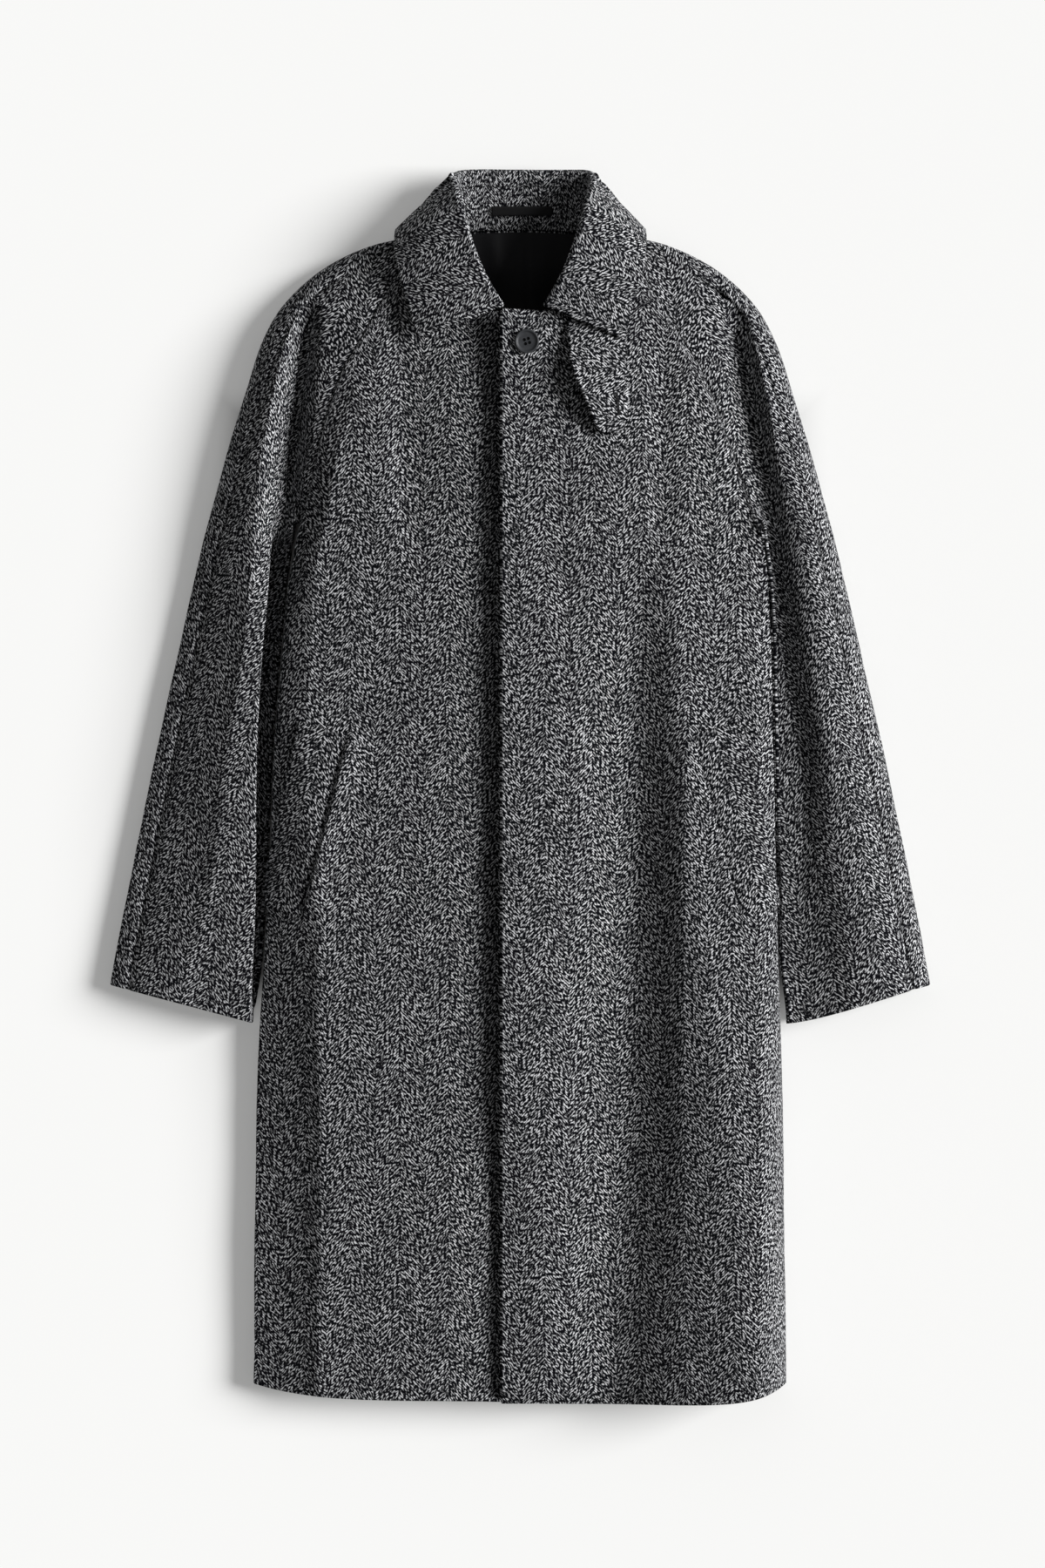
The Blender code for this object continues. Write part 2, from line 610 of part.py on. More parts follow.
def sleeve_back_line(q, side, seam):
    """One line of a sleeve back, from the overarm seam round the outer edge to the inner seam."""
    inner, outer, height = sleeve_station(q, side)
    front_length = np.linalg.norm(inner - outer)
    if q < UNDERARM_STATION:
        inner = raglan_seam(q, side, back=True)
    along = inner - outer
    length = np.linalg.norm(along)
    along = along / length
    roll = min(ARM_UNDER_ROLL, 0.4 * length)
    front_step = (sleeve_station(q, side)[0] - outer) / front_length
    line = [tuple(seam)]
    plan = outer + front_step * overarm_inset(front_length) * 0.3
    line.append((side * plan[0], plan[1], float(sleeve_top(plan[0], plan[1], side, height))))
    neck = float(under_skin(1.0, outer[1], roll, 0.0))
    for turn in (0, 30, 60, 90):
        plan = outer + along * roll * (1 - math.cos(math.radians(turn)))
        low = neck * ease(turn / 60) + ARM_RIM * (1 - math.sin(math.radians(turn)))
        line.append((side * plan[0], plan[1], float(low)))
    flat_to = length - (roll if q > UNDERARM_STATION else 0.12 * length)
    for step in np.linspace(roll, flat_to, 4)[1:]:
        plan = outer + along * step
        line.append((side * plan[0], plan[1], float(sleeve_under(plan, q, side))))
    if q > UNDERARM_STATION:
        for turn in (60, 30):
            plan = inner - along * roll * (1 - math.cos(math.radians(turn)))
            line.append((side * plan[0], plan[1], ARM_RIM * (1 - math.sin(math.radians(turn)))))
        line.append(tuple(underarm_seam(inner, side)))
    else:
        for step in np.linspace(flat_to, length, 4)[1:]:
            plan = outer + along * step
            line.append((side * plan[0], plan[1], float(sleeve_under(plan, q, side))))
        if q == UNDERARM_STATION:
            line[-1] = tuple(underarm_point(side))
    return line


def sleeve_under(plan, q, side):
    """Height of the sleeve's under side, which lifts beside the underarm."""
    edge = arm_edge(plan[1], side) if q > UNDERARM_STATION else body_edge(plan[1], side)
    rim = read(BODY_ROWS, "rim", "y", plan[1])
    return under_skin(plan[0] - edge, plan[1], UNDER_ROLL, rim)


def make_sleeve(side, word):
    """Front and back halves of a sleeve, which meet at the overarm and underarm seams."""
    front = sleeve_front_grid(side)
    lines = sleeve_lines()
    back = np.array([sleeve_back_line(q, side, front[i, 0]) for i, q in enumerate(lines)])
    seams = ("first_column", "last_column")
    cloth_wall("sleeve_front_" + word, front, pinched(front, CLOTH), WOOL, -side, seams, ("last_column",))
    cloth_wall("sleeve_back_" + word, back, pinched(back, CLOTH), WOOL, side, seams, ("last_column",))


def collar_station(t, side):
    """Neck, fold and edge points of the collar at a station."""
    keys = np.arange(len(COLLAR_ROWS))
    value = {c: through(keys, [getattr(r, c) for r in COLLAR_ROWS], t) for c in CollarRow._fields}
    front = float(ease((t - 3) / 3))
    lift = COLLAR_LIFT[side] * front
    neck = np.array([side * value["neck_x"] + COLLAR_SHIFT, value["neck_y"], value["neck_z"] + lift])
    fold = np.array([side * value["fold_x"] + COLLAR_SHIFT, value["fold_y"], value["fold_z"] + lift])
    edge = np.array([side * value["edge_x"], value["edge_y"], value["edge_z"] + lift])
    return neck, fold, edge


def collar_seam(neck, fold):
    """Point where the leaf, turned in over the fold, meets the collar band."""
    length = np.linalg.norm(fold - neck)
    return fold + (neck - fold) / length * min(FALL_TURN_IN, 0.45 * length)


def collar_walk():
    """Stations of the collar from its left front to its right front."""
    half = np.arange(COLLAR_FRONT, 0, -COLLAR_STEP)
    return [(t, LEFT) for t in half] + [(0.0, LEFT)] + [(t, RIGHT) for t in half[::-1]]


def fall_line(t, side, neck, fold, edge, run):
    """One line of the leaf: from the band seam, over the rolled fold, to the outer edge."""
    seam = collar_seam(neck, fold)
    inward = (fold - neck) / np.linalg.norm(fold - neck)
    leaf = np.cross(inward, run)
    leaf = leaf / np.linalg.norm(leaf)
    centre = fold + (leaf - inward) * COLLAR_ROLL
    line = [seam, (seam + centre - leaf * COLLAR_ROLL) / 2]
    for turn in (-90, -45, 0, 45, 90):
        angle = math.radians(turn)
        line.append(centre + (inward * math.cos(angle) + leaf * math.sin(angle)) * COLLAR_ROLL)
    start = line[-1]
    sag = BACK_SAG + (LEAF_SAG[side] - BACK_SAG) * float(ease((t - 1.5) / 2))
    for share in np.linspace(0, 1, 7)[1:]:
        point = start + (edge - start) * share + leaf * sag * math.sin(math.pi * share)
        point[2] = max(point[2], FLOOR_GAP)
        line.append(point)
    return line


def make_collar():
    """The collar band inside the neck and the leaf that turns over it."""
    walk = collar_walk()
    necks, folds, edges = (np.array(line) for line in zip(*[collar_station(t, side) for t, side in walk]))
    runs = np.gradient(folds, axis=0)
    leaf = [fall_line(*walk[i], necks[i], folds[i], edges[i], runs[i]) for i in range(len(walk))]
    cloth_wall("collar_fall", np.array(leaf), COLLAR_CLOTH, WOOL, 1, ("first_column",))
    seams = np.array([collar_seam(neck, fold) for neck, fold in zip(necks, folds)])
    band = np.stack([necks + (seams - necks) * share for share in np.linspace(0, 1, 4)], axis=1)
    cloth_wall("collar_stand", band, CLOTH, WOOL, 1, ("last_column",))
    return band


def make_hanger_loop(band):
    """Tape loop that lies on the collar band at the centre back."""
    middle = band[len(band) // 2]
    count = 7
    line = np.linspace(LOOP_X[0], LOOP_X[1], count)
    tape = np.empty((count, 2, 3))
    for i, x in enumerate(line):
        for j, share in enumerate(LOOP_BAND):
            point = middle[0] + (middle[-1] - middle[0]) * share
            bow = LOOP_BOW * math.sin(math.pi * i / (count - 1))
            tape[i, j] = (x, point[1], point[2] + LOOP_SEAT + TAPE_CLOTH + bow)
    cloth_wall("hanger_loop", tape, TAPE_CLOTH, TAPE, 1)


def make_back_lining(back):
    """Lining of the back where it shows through the neck, made from the back's own points."""
    rise = skin_normals(back, 1) * (CLOTH + LINING_GAP + LINING_CLOTH)
    over = (back - rise)[-LINING_LINES:, LINING_COLUMNS:-LINING_COLUMNS]
    over = draw_back(over.copy(), LINING_MARGIN, ("last_row",))
    cloth_wall("back_lining", over, LINING_CLOTH, SATIN, -1)


def make_throat_tab():
    """Tab with its base under the right collar leaf, its left edge standing off the front."""
    columns = 5
    grid = np.empty((len(TAB_ROWS), columns, 3))
    for i, row in enumerate(TAB_ROWS):
        for j, share in enumerate(np.linspace(0, 1, columns)):
            x = row.left + (row.right - row.left) * share
            point = front_skin(x, row.y, RIGHT)
            point[2] += LAYER_GAP + TAB_CLOTH + row.lift * (1 - share)
            grid[i, j] = point
    cloth_wall("throat_tab", grid, TAB_CLOTH, WOOL, -1)


def welt_line(seam_out, y, side):
    """Points across a welt on the front's skin, walked off from the welt's front seam."""
    centre = 0.0
    start = across_of(seam_out, y, side, centre)
    walk = np.array([ring_point(a, y, side, centre) for a in np.linspace(start, WELT_LIMIT, WELT_STEPS)])
    lengths = np.concatenate([[0], np.cumsum(np.linalg.norm(np.diff(walk, axis=0), axis=1))])
    at = np.linspace(0, WELT_WIDTH, 6)
    return np.stack([np.interp(at, lengths, walk[:, c]) for c in range(3)], axis=-1)


def make_welt(side, word):
    """Slanted pocket welt, made from the front's own points moved out."""
    grid = []
    for share in np.linspace(0, 1, 8):
        out = WELT_TOP[0] + (WELT_BOTTOM[0] - WELT_TOP[0]) * share
        y = WELT_TOP[1] + (WELT_BOTTOM[1] - WELT_TOP[1]) * share
        line = welt_line(out, y, side)
        line[:, 1] += WELT_SLANT * np.linspace(0, 1, len(line))
        grid.append(line)
    grid = np.array(grid)
    grid = grid + skin_normals(grid, side) * (SEAM_GAP + LAYER_GAP + WELT_CLOTH)
    cloth_wall("pocket_welt_" + word, grid, WELT_CLOTH, WOOL, side)


def make_neck_button():
    """Turned button with a raised rim, a shallow well and four thread holes."""
    seat = front_skin(BUTTON_X, BUTTON_Y, RIGHT)
    profile = (
        (BUTTON_RADIUS * 0.86, 0.0),
        (BUTTON_RADIUS, BUTTON_HEIGHT * 0.4),
        (BUTTON_RADIUS, BUTTON_HEIGHT * 0.75),
        (BUTTON_RADIUS - BUTTON_RIM * 0.4, BUTTON_HEIGHT),
        (BUTTON_RADIUS - BUTTON_RIM, BUTTON_HEIGHT * 0.92),
        (BUTTON_RADIUS - BUTTON_RIM * 1.6, BUTTON_HEIGHT - BUTTON_WELL),
    )
    points = []
    for radius, height in profile:
        for k in range(BUTTON_SIDES):
            angle = 2 * math.pi * k / BUTTON_SIDES
            points.append((radius * math.cos(angle), radius * math.sin(angle), height))
    faces = []
    for ring in range(len(profile) - 1):
        for k in range(BUTTON_SIDES):
            here, there = ring * BUTTON_SIDES + k, ring * BUTTON_SIDES + (k + 1) % BUTTON_SIDES
            faces.append((here, there, there + BUTTON_SIDES, here + BUTTON_SIDES))
    last = (len(profile) - 1) * BUTTON_SIDES
    faces.append(tuple(range(BUTTON_SIDES - 1, -1, -1)))
    faces.append(tuple(range(last, last + BUTTON_SIDES)))
    top = seat[2] + LAYER_GAP
    placed = [(seat[0] + x, seat[1] + y, top + z) for x, y, z in points]
    button = add_mesh("neck_button", placed, faces, HORN)
    for k in range(4):
        angle = math.pi / 4 + k * math.pi / 2
        step_x, step_y = BUTTON_HOLE_SPREAD * math.cos(angle), BUTTON_HOLE_SPREAD * math.sin(angle)
        cut_hole(button, (seat[0] + step_x, seat[1] + step_y), top)


def cut_hole(button, spot, top):
    """Cut one thread hole through the button."""
    bpy.ops.mesh.primitive_cylinder_add(
        vertices=8, radius=BUTTON_HOLE_RADIUS, depth=4 * BUTTON_HEIGHT, location=(*spot, top))
    cutter = bpy.context.object
    cutter.hide_render = True
    cutter.display_type = "WIRE"
    cut = button.modifiers.new("thread_hole", "BOOLEAN")
    cut.operation = "DIFFERENCE"
    cut.object = cutter


def build():
    """Make every piece of the coat."""
    back = make_back()
    make_front(LEFT, "front_left")
    make_front(RIGHT, "front_right")
    make_sleeve(LEFT, "left")
    make_sleeve(RIGHT, "right")
    band = make_collar()
    make_back_lining(back)
    make_hanger_loop(band)
    make_throat_tab()
    make_welt(LEFT, "left")
    make_welt(RIGHT, "right")
    make_neck_button()


build()
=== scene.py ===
"""Looks of a knee-length raglan car coat in herringbone wool, laid on its back on a pale floor.

Metres, +Z up. The collar points to +Y, the front faces +Z and the floor is Z = 0. Left and right are
the viewer's. Each cloth piece is a grid of points on the coat's outer skin, given its creases and then
its thickness. Cloth coordinates, in metres along and across the grain, are kept as a UV map.
"""

import math
from collections import namedtuple

import bpy
import numpy as np
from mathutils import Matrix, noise


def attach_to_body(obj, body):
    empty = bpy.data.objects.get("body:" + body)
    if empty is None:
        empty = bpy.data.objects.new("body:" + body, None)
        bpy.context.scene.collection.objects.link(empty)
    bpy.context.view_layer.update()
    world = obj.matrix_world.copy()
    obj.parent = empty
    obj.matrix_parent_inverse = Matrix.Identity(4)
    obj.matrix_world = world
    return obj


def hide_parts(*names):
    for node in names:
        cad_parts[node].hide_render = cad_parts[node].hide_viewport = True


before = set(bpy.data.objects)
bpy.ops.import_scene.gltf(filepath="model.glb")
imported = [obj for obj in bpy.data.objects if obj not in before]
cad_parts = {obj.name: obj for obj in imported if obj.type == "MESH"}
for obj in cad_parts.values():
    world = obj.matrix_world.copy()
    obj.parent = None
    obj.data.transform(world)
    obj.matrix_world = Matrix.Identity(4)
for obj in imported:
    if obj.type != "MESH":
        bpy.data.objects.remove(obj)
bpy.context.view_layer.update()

bl_info = {
    "name": "Car coat",
    "version": (1, 0, 0),
    "blender": (4, 5, 0),
    "location": "View3D > Sidebar > Coat",
    "description": "Dresses a raglan car coat in herringbone wool, laid out on its back",
    "category": "Object",
}

BODY = "root"
CLOTH_MAP = "cloth"
TINY = 1e-12

# Sides, as the sign of X
LEFT = -1
RIGHT = 1
SIDES = (LEFT, RIGHT)
WORD = {LEFT: "left", RIGHT: "right"}

# Body: outward distance of each side edge, height of the rolled edge's outermost line and of the
# front. Above the underarm the edge columns hold the fold between the body and the sleeve.
BodyRow = namedtuple("BodyRow", "y left_edge right_edge left_rim right_rim height")
BODY_ROWS = (
    BodyRow(-0.566, 0.2452, 0.2444, 0.016, 0.014, 0.036),
    BodyRow(-0.400, 0.2440, 0.2430, 0.017, 0.014, 0.040),
    BodyRow(-0.280, 0.2422, 0.2412, 0.017, 0.014, 0.043),
    BodyRow(-0.162, 0.2356, 0.2372, 0.021, 0.038, 0.045),
    BodyRow(-0.058, 0.2300, 0.2345, 0.027, 0.040, 0.047),
    BodyRow(0.040, 0.2255, 0.2320, 0.033, 0.042, 0.048),
    BodyRow(0.133, 0.2180, 0.2300, 0.033, 0.043, 0.049),
    BodyRow(0.190, 0.2124, 0.2270, 0.031, 0.045, 0.049),
    BodyRow(0.242, 0.2044, 0.2210, 0.026, 0.046, 0.048),
    BodyRow(0.312, 0.2060, 0.2185, 0.026, 0.045, 0.047),
    BodyRow(0.381, 0.1980, 0.2060, 0.032, 0.038, 0.044),
    BodyRow(0.445, 0.1880, 0.1900, 0.039, 0.039, 0.041),
    BodyRow(0.515, 0.1700, 0.1720, 0.039, 0.039, 0.040),
)
UNDERARM_Y = 0.242
SOFTENING = 0.10

# Roll of the side edges under the body, and the low crown along the middle of the fronts
UNDER_ROLL = 0.020
UNDER_REACH = 0.050
CROWN_RISE = 0.008
CROWN_SLOPE = 0.06
CROWN_ROUND = 0.03
CROWN_TOP_Y = 0.300
CROWN_FADE = 0.120

# Fall of the fronts to their side edges: how far inside the edge it starts and how round it is. On
# the left it is steep beside the sleeve and a long slope below it.
SideRow = namedtuple("SideRow", "y reach bulge")
SIDE_ROWS = {
    LEFT: (
        SideRow(-0.566, 0.080, 1.02),
        SideRow(-0.280, 0.076, 1.02),
        SideRow(-0.160, 0.058, 1.10),
        SideRow(-0.090, 0.050, 1.20),
        SideRow(-0.030, 0.036, 1.35),
        SideRow(0.150, 0.027, 1.50),
        SideRow(0.220, 0.024, 1.40),
        SideRow(0.280, 0.034, 1.15),
        SideRow(0.400, 0.070, 1.00),
    ),
    RIGHT: (
        SideRow(-0.566, 0.030, 1.70),
        SideRow(-0.160, 0.020, 1.80),
        SideRow(-0.040, 0.018, 1.10),
        SideRow(0.180, 0.020, 1.00),
        SideRow(0.280, 0.026, 1.00),
        SideRow(0.400, 0.030, 1.00),
    ),
}
SIDE_CREST = {LEFT: 1.25, RIGHT: 1.8}

# Deep flute that runs down the right front: where it starts to rise, its crest and its height
FluteRow = namedtuple("FluteRow", "y start crest rise")
FLUTE_ROWS = (
    FluteRow(-0.566, 0.066, 0.216, 0.039),
    FluteRow(-0.280, 0.090, 0.192, 0.030),
    FluteRow(0.000, 0.098, 0.155, 0.016),
    FluteRow(0.160, 0.098, 0.146, 0.011),
    FluteRow(0.260, 0.098, 0.146, 0.004),
    FluteRow(0.360, 0.098, 0.146, 0.000),
)
FLUTE_FALL = 0.09

# Sleeve, from the neck to the cuff: the inner line (raglan seam, then inner edge), the outer edge
# and the height. Mirrored on the right, where the underarm lies further out. Below the underarm the
# inner edge follows the body's side edge.
SleeveRow = namedtuple("SleeveRow", "in_x in_y out_x out_y height")
SLEEVE_ROWS = (
    SleeveRow(0.0815, 0.4930, 0.0760, 0.5080, 0.036),
    SleeveRow(0.1060, 0.4790, 0.1300, 0.4995, 0.040),
    SleeveRow(0.1310, 0.4400, 0.1780, 0.4775, 0.043),
    SleeveRow(0.1490, 0.4080, 0.2140, 0.4460, 0.045),
    SleeveRow(0.1640, 0.3830, 0.2360, 0.4090, 0.046),
    SleeveRow(0.1765, 0.3470, 0.2520, 0.3610, 0.046),
    SleeveRow(0.1860, 0.3100, 0.2655, 0.3160, 0.045),
    SleeveRow(0.1940, 0.2730, 0.2780, 0.2720, 0.044),
    SleeveRow(0.2044, 0.2420, 0.2900, 0.2280, 0.043),
    SleeveRow(0.2260, 0.1920, 0.3012, 0.1800, 0.042),
    SleeveRow(0.2325, 0.1300, 0.3150, 0.1180, 0.040),
    SleeveRow(0.2347, 0.0350, 0.3350, 0.0300, 0.038),
    SleeveRow(0.2378, -0.0700, 0.3555, -0.0700, 0.036),
    SleeveRow(0.2395, -0.1500, 0.3685, -0.1350, 0.033),
    SleeveRow(0.2436, -0.2165, 0.3770, -0.1815, 0.028),
)

# Stations of the underarm and the cuff, and small shifts that set the right sleeve off from the left
UNDERARM_STATION = 8
CUFF_STATION = len(SLEEVE_ROWS) - 1
OUTLINE_POINTS = 160
UNDERARM_SPREAD = {LEFT: 0.0, RIGHT: 0.0166}
SPREAD_POWER = 2
SPREAD_TOP_Y = 0.470
SLEEVE_LEAN = -0.0012
LEAN_IN_STATIONS = 3
LEAN_OUT_STATIONS = 5

# Room between a sleeve and the body, which widens at the cuff
ARM_GAP = {LEFT: 0.0012, RIGHT: 0.0003}
CUFF_GAP = {LEFT: 0.005, RIGHT: 0.006}
CUFF_GAP_Y = -0.150
CUFF_GAP_REACH = 0.070

# Roundness of a sleeve: its rolled outer edge, a plain slope in its place, its inner side and its lift
ARM_RIM = 0.014
ARM_CREST = 1.6
ARM_BULGE = 1.7
PLAIN_CREST = 1.06
PLAIN_BULGE = 1.10
ARM_INNER_REACH = 0.007
ARM_LIFT = {LEFT: 0.005, RIGHT: 0.011}
INNER_CREST = 1.5
INNER_BULGE = 1.6
VALLEY_REACH = {LEFT: 0.045, RIGHT: 0.024}
UNDERARM_FADE = 0.030
ARM_UNDER_ROLL = 0.016
ARM_ROLL_SHARE = 0.4
ARM_FLAT_SHARE = 0.12

# Overarm seam, set in from the outer edge, and the side and underarm seams, turned under the edges
OVERARM_INSET = 0.016
OVERARM_SHARE = 0.35
RAGLAN_BLEND = 0.03
SEAM_TURN = 0.1
SEAM_TUCK = (0.006, 0.002)
SLOT_TOP_Y = -0.020
SLOT_FADE = 0.060
SEAM_UNDER = 1.3
SEAM_CLIMB = (1.5, 2.0, 4.0)
SEAM_EASE = 4
SLEEVE_GRAIN = math.radians(11)
CUFF_BOW = {LEFT: 0.0, RIGHT: 0.003}
CUFF_BOW_STATIONS = 1.5

# Line along the left sleeve where its inner side drops steeply towards the body, how far the foot of
# that wall is undercut, the height of each sleeve's inner edge and the least height of its top
GapRow = namedtuple("GapRow", "y wall")
GAP_ROWS = (
    GapRow(-0.2165, 0.2470),
    GapRow(-0.1416, 0.2420),
    GapRow(-0.0776, 0.2400),
    GapRow(0.0024, 0.2402),
    GapRow(0.0824, 0.2372),
    GapRow(0.1624, 0.2310),
    GapRow(0.2420, 0.2250),
)
GAP_HALF = 0.0025
GAP_UNDERCUT = 0.006
GAP_FLOOR = {LEFT: 0.008, RIGHT: 0.040}
SLEEVE_LEAST = 0.0058
GAP_TOP_Y = 0.254
GAP_FADE = 0.046

# Low stretch of the right sleeve beside the body: how far out it reaches, how softly it ends and how
# low it is
TroughRow = namedtuple("TroughRow", "y x half_width depth")
TROUGH_ROWS = (
    TroughRow(-0.210, 0.246, 0.045, 0.008),
    TroughRow(-0.142, 0.246, 0.038, 0.010),
    TroughRow(-0.078, 0.254, 0.018, 0.009),
    TroughRow(0.002, 0.259, 0.012, 0.011),
    TroughRow(0.082, 0.250, 0.012, 0.013),
    TroughRow(0.162, 0.239, 0.013, 0.015),
    TroughRow(0.210, 0.231, 0.014, 0.016),
    TroughRow(0.260, 0.222, 0.014, 0.014),
    TroughRow(0.330, 0.216, 0.014, 0.000),
)

# Fall of a sleeve to its outer edge: how far inside the edge it starts, and how straight it is from
# 0 for a round edge to 1 for a plain slope
ArmRow = namedtuple("ArmRow", "y reach plain")
ARM_ROWS = {
    LEFT: (
        ArmRow(-0.240, 0.050, 0.4),
        ArmRow(-0.118, 0.074, 1.0),
        ArmRow(0.002, 0.068, 1.0),
        ArmRow(0.162, 0.056, 1.0),
        ArmRow(0.260, 0.048, 0.4),
        ArmRow(0.340, 0.050, 0.0),
        ArmRow(0.520, 0.050, 0.0),
    ),
    RIGHT: (ArmRow(-0.240, 0.050, 0.0), ArmRow(0.140, 0.050, 0.0), ArmRow(0.520, 0.050, 0.0)),
}

# Front opening: the right front lies over the left along the fly, and the left front dips beside and
# below it, each dip with its place, half width and depth
FLY_EDGE_X = -0.0170
UNDERLAP_X = 0.0450
FLY_LIFT = 0.0110
FLY_END_X = 0.064
FLY_FADE = 0.125
FLY_DIPS = ((-0.026, 0.024, 0.0035), (-0.021, 0.006, 0.0040))
FLY_HEM_Y = -0.572
FLY_HEM_FADE = 0.020
TOP_LIFT = 0.0080
TOP_LIFT_Y = 0.340
TOP_LIFT_REACH = 0.090

# Hem: lowest line at the centre and how far it rises to the sides
HEM_Y = {LEFT: -0.5630, RIGHT: -0.5664}
BACK_HEM_Y = -0.5550
HEM_RISE = {LEFT: 0.0150, RIGHT: 0.0190}
HEM_HALF = 0.245
HEM_POWER = {LEFT: 5, RIGHT: 9}
SIDE_HEM_Y = -0.5475

# Neck: edge of each front, and the shift from the front to the back raglan seam at the neck
NECK_FRONT = ((0.0300, 0.4370), (0.0560, 0.4465), (0.0740, 0.4680), (0.0815, 0.4930))
NECK_FRONT_Y = 0.4385
NECK_BACK_Y = 0.5115
NECK_BACK_DROP = 0.0030
NECK_BACK_COLUMNS = 3
BACK_SEAM_SHIFT = (-0.0215, 0.0155)
BACK_SEAM_STATIONS = 3.0
BACK_SEAM_POWER = 1.5
NECK_LIFT = 0.0060
NECK_LIFT_Y = 0.440
NECK_LIFT_REACH = 0.045

# Collar, from the centre back to the front point: neck seam, fold line and outer edge
CollarRow = namedtuple("CollarRow", "neck_x neck_y neck_z fold_x fold_y fold_z edge_x edge_y edge_z")
COLLAR_ROWS = (
    CollarRow(0.0000, 0.5122, 0.0098, 0.0000, 0.5660, 0.023, 0.0000, 0.4900, 0.0006),
    CollarRow(0.0300, 0.5118, 0.0103, 0.0340, 0.5658, 0.025, 0.0500, 0.4885, 0.0006),
    CollarRow(0.0520, 0.5105, 0.0125, 0.0555, 0.5650, 0.031, 0.0900, 0.4880, 0.0006),
    CollarRow(0.0620, 0.5075, 0.0150, 0.0580, 0.5615, 0.036, 0.1120, 0.5030, 0.0020),
    CollarRow(0.0700, 0.5010, 0.0210, 0.0585, 0.5540, 0.041, 0.1150, 0.5132, 0.0150),
    CollarRow(0.0750, 0.4890, 0.0310, 0.0545, 0.5370, 0.049, 0.1160, 0.4990, 0.0400),
    CollarRow(0.0700, 0.4700, 0.0390, 0.0465, 0.5060, 0.055, 0.1120, 0.4750, 0.0490),
    CollarRow(0.0530, 0.4510, 0.0440, 0.0330, 0.4700, 0.057, 0.1030, 0.4430, 0.0520),
    CollarRow(0.0290, 0.4410, 0.0465, 0.0165, 0.4425, 0.056, 0.0940, 0.4115, 0.0520),
)
COLLAR_FRONT = len(COLLAR_ROWS) - 1
COLLAR_SHIFT = 0.003
COLLAR_LIFT = {LEFT: 0.003, RIGHT: 0.0085}
COLLAR_LIFT_STATIONS = (3, 6)
COLLAR_ROLL = 0.0042
FALL_TURN_IN = 0.016
FALL_TURN_SHARE = 0.45
BACK_SAG = 0.011
LEAF_SAG = {LEFT: 0.003, RIGHT: 0.002}
SAG_STATIONS = (1.5, 3.5)
FLOOR_GAP = 0.0006

# Throat tab, lying on the right front below the collar leaf
TabRow = namedtuple("TabRow", "y left right lift")
TAB_ROWS = (
    TabRow(0.3250, 0.0740, 0.0915, 0.005),
    TabRow(0.3336, 0.0692, 0.0956, 0.009),
    TabRow(0.3516, 0.0620, 0.0980, 0.014),
    TabRow(0.3696, 0.0540, 0.0984, 0.016),
    TabRow(0.3870, 0.0476, 0.0964, 0.012),
    TabRow(0.4080, 0.0456, 0.0952, 0.006),
    TabRow(0.4260, 0.0445, 0.0940, 0.001),
    TabRow(0.4380, 0.0500, 0.0900, 0.000),
)
LAYER_GAP = 0.0005

# Pocket welts: both ends of the front seam of the welt, mirrored, and the welt's width
WELT_TOP = (0.1565, 0.0480)
WELT_BOTTOM = (0.1995, -0.1180)
WELT_WIDTH = 0.046
WELT_SLANT = 0.010
WELT_LIMIT = 1.6
WELT_STEPS = 120
WELT_SINK = 0.0024
WELT_SINK_REACH = 0.005
WELT_THIN = 0.3
POCKET_LIFT = {LEFT: 0.0050, RIGHT: 0.0020}
POCKET_REACH = 0.014
POCKET_DROP = 0.0016
POCKET_ENDS = (0.04, 0.12)

# Hanger loop on the collar band, and lining below it
LOOP_X = (-0.026, 0.029)
LOOP_BAND = (0.34, 0.54)
LOOP_BOW = 0.0015
LOOP_SEAT = 0.0017
TAPE_RIB = 0.0009
LINING_GAP = 0.0012
LINING_SHARE = 0.78
LINING_MARGIN = 0.002
LINING_TOP_Y = 0.46
LINING_TOP_REACH = 0.05
LINING_COLUMNS = 20

# Neck button: its place, its profile from the middle of its underside to the middle of its well as
# shares of radius and height, and its four thread holes as shares of the radius
BUTTON_X = 0.0060
BUTTON_Y = 0.4080
BUTTON_PROFILE = (
    (0.0, 0.02), (0.60, 0.0), (0.86, 0.02), (0.95, 0.16), (0.995, 0.38), (1.0, 0.62), (0.985, 0.82),
    (0.955, 0.95), (0.915, 1.0), (0.87, 0.985), (0.825, 0.90), (0.79, 0.76), (0.74, 0.66), (0.66, 0.62),
    (0.40, 0.60), (0.0, 0.59),
)
BUTTON_SIDES = 72
BUTTON_SHARP = math.radians(35)
HOLE_COUNT = 4
HOLE_TURN = math.radians(62)
HOLE_SPREAD = 0.245
HOLE_RADIUS = 0.135
HOLE_SIDES = 20
THREAD_FILL = 0.9
THREAD_HEIGHT = 0.15
THREAD_SIDES = 16

# Stitches: fly row, lips of the tab's buttonhole, tacks of the hanger loop. Each row has the length of
# one stitch, the distance between stitches and the thickness as a share of the thread's. Stitches vary
# in length.
FLY_STITCH_X = 0.046
FLY_STITCH_Y = (0.338, -0.106)
FLY_STITCH_LIFT = 0.0001
BUTTONHOLE = ((0.0882, 0.3605), (0.0904, 0.3405))
BUTTONHOLE_HALF = 0.0007
BUTTONHOLE_LIFT = 0.0006
BUTTONHOLE_ROW = (0.0012, 0.0007, 1.8)
LOOP_TACKS = (-0.0235, 0.0265)
LOOP_TACK_LIFT = 0.0001
LOOP_TACK_ROW = (0.0016, 0.0020, 0.8)
STITCH_VARIES = (0.9, 1.1)
STITCH_SEED = 7

